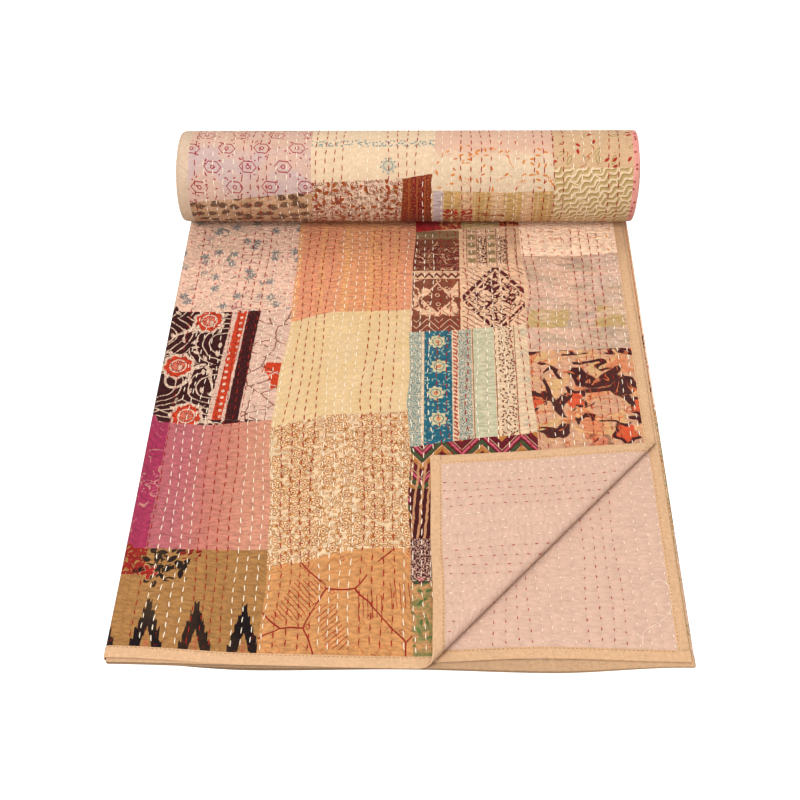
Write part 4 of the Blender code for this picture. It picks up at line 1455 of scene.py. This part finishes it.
            layer((0.42, 0.55, 0.50), near(-118, 36, 817, 828, Waver=4),
                  drawn("leaf", "Fill", Spacing=4.4, Length=2.2, Width=0.9, Keep=0.9)),
            *(layer((0.42, 0.56, 0.50), oneFlower(part, (-22, 853), Size=10, Petals=9, Depth=0.4, Line=0.9))
              for part in ("Outline", "Ring", "Rays")),
        ),
        "fade": 0.06,
    },
    "rustLeaves": {
        "toneAndPaintedLight": (0.64, 0.56, 0.58),
        "ground": (0.945, 0.840, 0.700),
        "layers": (
            layer((0.70, 0.37, 0.15), drawn("leaf", "Fill", Spacing=9, Length=4.2, Width=2.2, Keep=0.75)),
            layer((0.56, 0.24, 0.15), drawn("leaf", "Outline", Spacing=5.4, Length=2.6, Width=1.1, Keep=0.9,
                                            Line=0.8)),
            layer((0.62, 0.50, 0.32), drawn("leaf", "Fill", Spacing=8, Length=2.6, Width=1.1, Keep=0.5)),
            layer((0.58, 0.26, 0.16), drawn("twig", "Line", Size=14, Width=0.9, Keep=0.7)),
        ),
        "fade": 0.06,
    },
    "rustWeave": {
        # painted shade: this tone is darkened for the shade on the underside of the roll
        "toneAndPaintedLight": (0.58, 0.45, 0.34),
        "ground": (0.55, 0.235, 0.130),
        "layers": (
            layer((0.50, 0.10, 0.13), near(8, 26, -9999, 9999, Waver=4)),
            layer((0.72, 0.45, 0.28), drawn("speckle", "Fill", Size=2.2, Share=0.30)),
            layer((0.70, 0.40, 0.22), drawn("stripe", "Line", Pitch=10, Width=1.4, Start=4)),
        ),
        "fade": 0.08,
    },
    "orangeSprigs": {
        "toneAndPaintedLight": (0.63, 0.61, 0.55),
        "ground": (0.965, 0.850, 0.740),
        "layers": (
            layer((0.945, 0.765, 0.680), near(-999, 999, -9999, 838, Waver=10, Soft=12)),
            layer((0.915, 0.540, 0.260), near(-999, 999, 832, 999),
                  drawn("twig", "Line", Size=30, Width=1.6, Keep=0.34)),
            layer((0.915, 0.540, 0.260), near(-999, 999, 826, 999),
                  drawn("leaf", "Fill", Spacing=9.5, Length=3.6, Width=1.3, Keep=0.40)),
            layer((0.83, 0.40, 0.24), drawn("leaf", "Fill", Spacing=19, Length=3, Width=1, Keep=0.25)),
        ),
        "fade": 0.06,
    },
    "goldStripes": {
        "toneAndPaintedLight": (0.75, 0.63, 0.65),
        "ground": (0.865, 0.740, 0.545),
        "layers": (
            layer((0.790, 0.670, 0.410), drawn("stripe", "Line", Pitch=38, Width=22, Start=95, Waver=4)),
            layer((0.91, 0.82, 0.64), drawn("stripe", "Line", Pitch=13, Width=1.5, Start=60, Waver=2),
                  strength=0.6),
            layer((0.775, 0.735, 0.710), near(34, 46.5)),
            layer((0.66, 0.20, 0.14), near(47, 84, 908, 940, Waver=5),
                  drawn("speckle", "Fill", Size=5, Share=0.55)),
            layer((0.62, 0.34, 0.18), near(84, 125, 912, 940, Waver=7),
                  drawn("speckle", "Fill", Size=6, Long=3, Share=0.35)),
        ),
        "fade": 0.08,
    },
    "redSprigs": {
        "toneAndPaintedLight": (0.58, 0.54, 0.51),
        "ground": (0.945, 0.790, 0.620),
        "layers": (
            layer((0.62, 0.56, 0.24), drawn("leaf", "Outline", Spacing=21, Length=6.5, Width=2.2, Keep=0.65,
                                            Line=0.9)),
            layer((0.76, 0.22, 0.18), drawn("leaf", "Fill", Spacing=16, Length=4.2, Width=1.9, Keep=0.5)),
            layer((0.35, 0.38, 0.38), drawn("twig", "Line", Size=24, Width=0.9, Keep=0.22)),
            layer((0.76, 0.42, 0.20), drawn("twig", "Line", Size=31, Width=1.2, Keep=0.25)),
        ),
        "fade": 0.06,
    },
    "oliveChain": {
        "toneAndPaintedLight": (0.73, 0.61, 0.61),
        "ground": (0.775, 0.695, 0.460),
        "layers": (
            layer((0.945, 0.890, 0.720), drawn("stripe", "Line", Pitch=7.6, Width=2.8, Turn=1.05, Wave=1.9,
                                               WaveLength=15, Waver=3)),
            layer((0.53, 0.45, 0.27), drawn("stripe", "Line", Pitch=7.6, Width=0.8, Start=2.6, Turn=1.05,
                                            Wave=1.9, WaveLength=15, Waver=3)),
            layer((0.945, 0.890, 0.720), drawn("stripe", "Line", Pitch=26, Width=1.6, Turn=-0.35, Wave=4,
                                               WaveLength=21, Waver=6)),
        ),
        "fade": 0.08,
    },
    "pinkDots": {
        "ground": (0.900, 0.620, 0.580),
        "layers": (layer((0.62, 0.26, 0.26), drawn("flower", "Fill", Spacing=8, Wander=0.6, Size=1.6,
                                                   Petals=0, Depth=0, Keep=0.8)),),
    },
}
spares = ("peachSprigs", "paleYellow", "greyMauve", "ochreFlowers", "lilac", "pinkSprigs", "orangeMottle",
          "redSprigs",
          "plainTan", "greenLeaves", "boldFloral")
for name in ("plainTan", "lilac", "garland", "orangeSprigs", "redSprigs", "oliveChain", "pinkDots",
             "rustWeave"):
    prints[name]["cloth"] = {"Wrinkles": 0.35, **prints[name].get("cloth", {})}  # drawn taut round the roll
printNames = list(prints)
spareTiles = {"start": 0.3, "wide": 0.147, "deep": 0.155, "columnStep": 3, "rowStep": 7, "layerStep": 5}


def layPrints():
    # each face of the cloth takes the print of its patch, found from the even lattice
    counts = np.array([len(ring) for ring in clothFaces])
    corners = np.concatenate([np.array(ring) for ring in clothFaces])
    begins = np.concatenate(([0], np.cumsum(counts)[:-1]))
    s, v = np.add.reduceat(gridS[corners], begins) / counts, np.add.reduceat(gridV[corners],
                                                                             begins) / counts
    side = np.minimum.reduceat(gridSide[corners], begins)
    x, index = flatX(s), stretchOf(s)
    column = np.floor((x + spareTiles["start"]) / spareTiles["wide"]).astype(int)
    row = np.floor(v / spareTiles["deep"]).astype(int)
    tile = column * spareTiles["columnStep"] + row * spareTiles["rowStep"] + index * spareTiles["layerStep"]
    chosen = np.array([printNames.index(name) for name in spares])[tile % len(spares)]
    middle = starts[1] + (starts[2] - starts[1]) / 2
    for patches, first, last, here in (
        (topPatches, 0.0, flatRows, s < middle),
        (rollPatches, flatRows, turnRows, (s >= middle) & (index <= 3)),
    ):
        left = -1.0
        for column in patches:
            levels = [first] + [row[0] / 1000 for row in column["rows"]] + [last]
            for name, low, high in zip(column["prints"], levels, levels[1:]):
                found = here & (x > left) & (x <= column["to"]) & (v >= low) & (v < high)
                chosen[found] = printNames.index(name)
            left = column["to"]
    chosen[side < 0] = printNames.index("backing")
    quilt.data.polygons.foreach_set("material_index", chosen.astype(np.int32))
    quilt.data.update()


for name in printNames:
    quilt.data.materials.append(clothMaterial(name, prints[name]))
layPrints()
print("prints laid:", len(printNames))

# the bindings: strips folded round the edges of the cloth

binding = {
    "width": 0.012,
    "gap": 0.0004,
    "step": 0.00525,
    "bendSteps": 8,
    "turnSteps": 24,
    "smoothAngle": math.radians(50),
    "ripples": ((1, 0.0137, 0), (0.7, 0.0083, 1)),  # size, length and start of each
    "rippleHeight": 0.00005,
    "rippleFrom": (0.002, 0.0008),  # no ripple nearer the edge, or where the strip is thinner
    "profile": (  # from the edge, height on the flat, height in the roll; outer skin then inner
        (0.0120, 0.00082, 0.00049),
        (0.0117, 0.00098, 0.00055),
        (0.0090, 0.00103, 0.00056),
        (0.0055, 0.00104, 0.00056),
        (0.0028, 0.00101, 0.00056),
        (0.0013, 0.00090, 0.00053),
        (0.0004, 0.00060, 0.00036),
        (0.0000, 0.00000, 0.00000),
    ),
    "inside": (
        (0.0008, 0.00000, 0.00000),
        (0.0020, 0.00060, 0.00042),
        (0.0060, 0.00072, 0.00048),
        (0.0115, 0.00072, 0.00047),
    ),
}


def profileRing():
    outer = list(binding["profile"])
    under = [(d, -flat, -rolled) for d, flat, rolled in outer[-2::-1]]
    inner = list(binding["inside"])
    innerUnder = [(d, -flat, -rolled) for d, flat, rolled in inner[:0:-1]]
    return np.array(outer + under + innerUnder + inner)


def makeBinding(name, along, spot):
    # a strip with the ring's section at each place along, mapped by spot(along, fromEdge)
    ring = profileRing()
    count = len(ring)
    alongGrid = np.repeat(along, count)
    fromEdge = np.tile(ring[:, 0], len(along))
    s, v = spot(alongGrid, fromEdge)
    share = inRoll(v)
    w = mixed(np.tile(ring[:, 1], len(along)), np.tile(ring[:, 2], len(along)), share)
    ripple = sum(size * np.sin(tau * alongGrid / length + start)
                 for size, length, start in binding["ripples"])
    edge, thickness = binding["rippleFrom"]
    w = w + np.sign(w) * binding["rippleHeight"] * ripple * (fromEdge > edge) * (np.abs(w) > thickness)
    points = foldedPlace(s, v, w)
    faces = [tuple(reversed(range(count))), tuple(range((len(along) - 1) * count, len(along) * count))]
    for k in range(len(along) - 1):
        for m in range(count):
            n = (m + 1) % count
            faces.append((k * count + m, k * count + n, (k + 1) * count + n, (k + 1) * count + m))
    thing = meshObject(name, points, faces)
    addUv(thing, "cloth", alongGrid, fromEdge * np.sign(w + 1e-9))
    facingOut(thing)
    thing.select_set(True)
    bpy.ops.object.shade_smooth_by_angle(angle=binding["smoothAngle"])
    thing.select_set(False)
    return thing


def placesAlongFront():
    places = []
    for number, part in enumerate(stretches):
        if part["radius"] > 0:
            steps = binding["bendSteps"]
        else:
            steps = math.ceil(abs(part["toX"] - part["fromX"]) / binding["step"])
        places += list(np.linspace(starts[number], starts[number + 1], steps + 1)[:-1])
    return np.array(places + [across])


sideStart = binding["width"] + binding["gap"]
flatPart = np.arange(sideStart, roll["axisY"], binding["step"])
rolledPart = lengthAt(np.arange(1, roll["turns"] * binding["turnSteps"]) * tau / binding["turnSteps"])
placesAlongSide = np.concatenate((flatPart, rolledPart))
edges = {
    "binding_front": makeBinding("front_binding", placesAlongFront(), lambda along, d: (along, d)),
    "binding_side_upper": makeBinding("upper_side_binding", placesAlongSide, lambda along, d: (d, along)),
    "binding_side_lower": makeBinding("lower_side_binding", placesAlongSide, lambda along,
                                      d: (across - d, along)),
}
tan = clothMaterial("tan cotton", {
    "ground": (0.945, 0.780, 0.600), "rows": ("cloth", 150), "fade": 0.2, "toneAndPaintedLight": (0.63, 0.58, 0.57),
    "dimmedBelow": (0.0078, 0.30, 0.008),
    "cloth": {"Wrinkles": 0.35, "Slub": 0.2, "Weave": 0.35},
})
for node, thing in edges.items():
    thing.data.materials.append(tan)
    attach(thing, "root")
    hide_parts(node)
print("bindings made")

# the running stitches: one grain of thread, copied along every sewn row that shows

stitching = {
    "radius": 0.00052,
    "behindShare": 0.78,
    "pitch": 0.0119,
    "half": (0.0034, 0.0047),
    "halfBehind": (0.0013, 0.0026),
    "wander": 0.0007,
    "slant": 0.0005,
    "sunk": 0.00030,
    "raised": 0.00024,
    "cycle": 8,
    "redRun": 4,
    "first": 0.004,
    "clear": 0.0130,
    "last": {0: 0.605, 2: 1.02, 6: 0.270},
    "reach": 0.2700,
    "start": (0.35, 0.95),
    "bendClear": (1.2, 2.2),  # in radii past the bend: where face stitches end and back ones begin
    "flapDepth": 0.262,
    "underFlap": -0.012,
    "turnClear": 0.05,
    "fullness": 1.2,
    "seed": 41,
}
bindingStitch = {
    "radius": 0.00030,
    "pitch": 0.0042,
    "half": (0.0013, 0.0016),
    "fromEdge": 0.0104,
    "first": 0.014,
    "lastTurn": math.radians(330),
    "sunk": 0.0002,
    "raised": 0.00012,
}


def threadGrain():
    bpy.ops.mesh.primitive_uv_sphere_add(segments=4, ring_count=4)
    grain = bpy.context.object
    points = np.empty(len(grain.data.vertices) * 3)
    grain.data.vertices.foreach_get("co", points)
    points = points.reshape(-1, 3)
    faces = np.array([list(face.vertices) + [-1] * (4 - len(face.vertices))
                      for face in grain.data.polygons])
    bpy.data.meshes.remove(grain.data)
    points[:, :2] *= stitching["fullness"]
    return points, faces


grainPoints, grainFaces = threadGrain()


def rowFlatX(number, row):
    x = row * quilting["rowPitch"][number]
    return x, sAt(number, x)


def sewnRows():
    # every stitch that shows, as (stretch, row, side, middle, half length)
    chance = np.random.default_rng(stitching["seed"])
    for number in (0, 2, 6):
        pitch = quilting["rowPitch"][number]
        for row in range(math.ceil(-stitching["reach"] / pitch),
                         math.floor(stitching["reach"] / pitch) + 1):
            count = int((stitching["last"][number] - stitching["first"]) / stitching["pitch"])
            places = np.arange(count) + chance.uniform(*stitching["start"])
            middles = stitching["first"] + places * stitching["pitch"]
            middles = middles + chance.uniform(-1, 1, count) * stitching["wander"]
            half = chance.uniform(*stitching["half"], count)
            behind = chance.uniform(*stitching["halfBehind"], count)
            red = (row - quilting["firstRed"][number]) % stitching["cycle"] < stitching["redRun"]
            yield number, row, 1, middles, half, red
            yield number, row, -1, middles + stitching["pitch"] / 2, behind, red


def stitchShows(number, x, side, v, half):
    past, radius = pastBend(x, v)[:2]
    clear = v - half > stitching["clear"]
    if number == 0:
        face, back = stitching["bendClear"]
        onFlap = (past > radius * back) & (v < stitching["flapDepth"])
        return clear & (past < radius * face if side > 0 else onFlap)
    if number == 6:
        return clear & (past > stitching["underFlap"]) & (side < 0) & (v < stitching["last"][6])
    turn = turnAt(v)
    first, last = quilting["shownTurns"]
    onRoll = (turn > first + stitching["turnClear"]) & (turn < last - stitching["turnClear"])
    return clear & (side > 0) & ((v < flatRows) | onRoll)


def grainsOfThread(s, v, side, half, slant, radius, shape):
    # the copied grain's points, each still on an even lattice: across, back, and height above the cloth
    along = grainPoints[:, 2][None, :]
    s = s[:, None] + grainPoints[:, 0][None, :] * radius + slant[:, None] * along
    v = v[:, None] + along * half[:, None]
    lift = mixed(shape["raised"], -shape["sunk"], along ** 2) + grainPoints[:, 1][None, :] * radius
    return s.ravel(), v.ravel(), np.broadcast_to(lift, s.shape).ravel(), np.repeat(side, along.shape[1])


def threadObject(name, points, count):
    rings = grainFaces[None] + (np.arange(count) * len(grainPoints))[:, None, None]
    rings = np.where(grainFaces[None] < 0, -1, rings).reshape(-1, 4).tolist()
    thing = meshObject(name, points, [[spot for spot in ring if spot >= 0] for ring in rings])
    facingOut(thing)
    thing.data.shade_smooth()
    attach(thing, "root")
    return thing


def sewRunningStitches():
    chance = np.random.default_rng(stitching["seed"] + 1)
    sewn = {True: [], False: []}
    for number, row, side, middles, half, red in sewnRows():
        x, s = rowFlatX(number, row)
        keep = stitchShows(number, x, side, middles, half)
        slant = chance.uniform(-1, 1, len(middles)) * stitching["slant"]
        if keep.any():
            spot, sides = np.full(keep.sum(), s), np.full(keep.sum(), side)
            sewn[red].append(np.stack((spot, middles[keep], sides, half[keep], slant[keep])))
    threads = {}
    for red, name in ((True, "red_stitches"), (False, "pale_stitches")):
        s, v, side, half, slant = np.concatenate(sewn[red], axis=1)
        radius = stitching["radius"] * np.where(side < 0, stitching["behindShare"], 1.0)[:, None]
        s, v, lift, side = grainsOfThread(s, v, side, half, slant, radius, stitching)
        threads[red] = threadObject(name, surfacePlace(s, v, side, lift), len(half))
        print(name, "sewn:", len(half))
    return threads


def sewBindings():
    # short stitches that hold the strips down, seen on the top and the flap, and round the outside
    spots = []
    edge, pitch = bindingStitch["fromEdge"], bindingStitch["pitch"]
    alongFront = np.arange(bindingStitch["first"], across - bindingStitch["first"], pitch)
    alongSide = np.arange(bindingStitch["first"], float(lengthAt(bindingStitch["lastTurn"])), pitch)
    for side in (1.0, -1.0):
        for along, atStart in ((alongFront, None), (alongSide, True), (alongSide, False)):
            s = along if atStart is None else np.full_like(along, edge if atStart else across - edge)
            v = np.full_like(along, edge) if atStart is None else along
            index = stretchOf(s)
            seen = np.isin(index, (0, 1, 2,
                                   6)) & ~((index == 2) & (side < 0)) & ~((index == 6) & (side > 0))
            spots.append(np.stack((s, v, np.full_like(s, side), np.full_like(s, atStart is None)))[:, seen])
    s, v, side, crosswise = np.concatenate(spots, axis=1)
    chance = np.random.default_rng(stitching["seed"] + 2)
    half = chance.uniform(*bindingStitch["half"], len(s))[:, None]
    radius = bindingStitch["radius"]
    along, over = grainPoints[:, 2][None, :] * half, grainPoints[:, 0][None, :] * radius
    crosswise = crosswise[:, None] > 0
    s = (s[:, None] + np.where(crosswise, along, over)).ravel()
    v = (v[:, None] + np.where(crosswise, over, along)).ravel()
    side = np.repeat(side, len(grainPoints))
    arch = grainPoints[:, 2][None, :] ** 2
    lift = mixed(bindingStitch["raised"], -bindingStitch["sunk"], arch) + grainPoints[:, 1][None,
                                                                                            :] * radius
    lift = np.broadcast_to(lift, (len(half), len(grainPoints))).ravel()
    skin = mixed(binding["profile"][3][1], binding["profile"][3][2], inRoll(v))
    thing = threadObject("binding_stitches", foldedPlace(s, v, side * (skin + lift)), len(half))
    print("binding stitches sewn:", len(half))
    return thing


threadLook = {"fibre": 0.0011, "broad": 0.013, "fibreShade": 0.3, "roughness": 0.75, "gloss": 0.2}


def threadMaterial(name, colour, variation):
    material = bpy.data.materials.new(name)
    material.use_nodes = True
    tree = material.node_tree
    shader = tree.nodes["Principled BSDF"]
    place = Wire(tree, tree.nodes.new("ShaderNodeTexCoord").outputs["Object"])
    fibre = noise(tree, place, threadLook["fibre"], detail=1.0) - 0.5
    broad = noise(tree, place, threadLook["broad"], detail=1.0) - 0.5
    shaded = tree.nodes.new("ShaderNodeVectorMath")
    shaded.operation = "SCALE"
    shaded.inputs[0].default_value = linear(colour)[:3]
    feed(tree, shaded.inputs["Scale"], 1 + fibre * threadLook["fibreShade"] + broad * variation)
    tree.links.new(shaded.outputs[0], shader.inputs["Base Color"])
    shader.inputs["Roughness"].default_value = threadLook["roughness"]
    shader.inputs["Specular IOR Level"].default_value = threadLook["gloss"]
    return material


looseEnd = {  # the end of cream thread left lying on the backing, its places across and back in millimetres
    "radius": 0.00022,
    "corners": 8,
    "steps": 40,
    "cut": 0.25,
    "tip": 0.4,
    "rest": 1.1,
    "places": ((256, 88), (266, 90), (271.5, 84), (273, 72), (272, 60), (267.5, 51), (261, 44), (252, 38),
               (242, 33), (238.5, 28), (237, 21), (236.5, 15)),
}


def layLooseEnd():
    places = np.array(looseEnd["places"]) / 1000
    for _ in range(3):  # each pass cuts the corners off the line
        ends = places[:1], places[-1:]
        near = mixed(places[:-1], places[1:], looseEnd["cut"])
        far = mixed(places[:-1], places[1:], 1 - looseEnd["cut"])
        places = np.concatenate((ends[0], np.stack((near, far), axis=1).reshape(-1, 2), ends[1]))
    along = np.concatenate(([0], np.cumsum(np.linalg.norm(np.diff(places, axis=0), axis=1))))
    even = np.linspace(0, along[-1], looseEnd["steps"])
    x, v = (np.interp(even, along, places[:, axis]) for axis in (0, 1))
    ahead = np.stack((np.gradient(x), np.gradient(v)), axis=1)
    ahead /= np.linalg.norm(ahead, axis=1)[:, None]
    angle = np.linspace(0, tau, looseEnd["corners"], endpoint=False)[None, :]
    radius = looseEnd["radius"] * np.ones(len(x))[:, None]
    radius[[0, -1]] *= looseEnd["tip"]
    x = x[:, None] + ahead[:, 1:] * radius * np.cos(angle)
    v = v[:, None] - ahead[:, :1] * radius * np.cos(angle)
    lift = looseEnd["radius"] * looseEnd["rest"] + radius * np.sin(angle)
    s = sAt(6, x.ravel())
    points = surfacePlace(s, v.ravel(), np.full(s.shape, -1.0), lift.ravel())
    count, rings = looseEnd["corners"], len(x)
    faces = []
    for begin in range(0, (rings - 1) * count, count):
        for i in range(count):
            following = (i + 1) % count
            faces.append([begin + i, begin + following, begin + count + following, begin + count + i])
    faces += [list(range(count))[::-1], list(range((rings - 1) * count, rings * count))]
    thing = meshObject("loose_thread", points, faces)
    facingOut(thing)
    thing.data.shade_smooth()
    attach(thing, "root")
    return thing


threads = sewRunningStitches()
threads["loose"] = layLooseEnd()
threads[True].data.materials.append(threadMaterial("red thread", (0.60, 0.14, 0.11), 0.6))
creamThread = threadMaterial("cream thread", (0.92, 0.85, 0.75), 0.2)
for name in (False, "loose"):
    threads[name].data.materials.append(creamThread)
bindingThread = sewBindings()
bindingThread.data.materials.append(threadMaterial("tan thread", (0.66, 0.46, 0.27), 0.4))
print("stitches sewn")
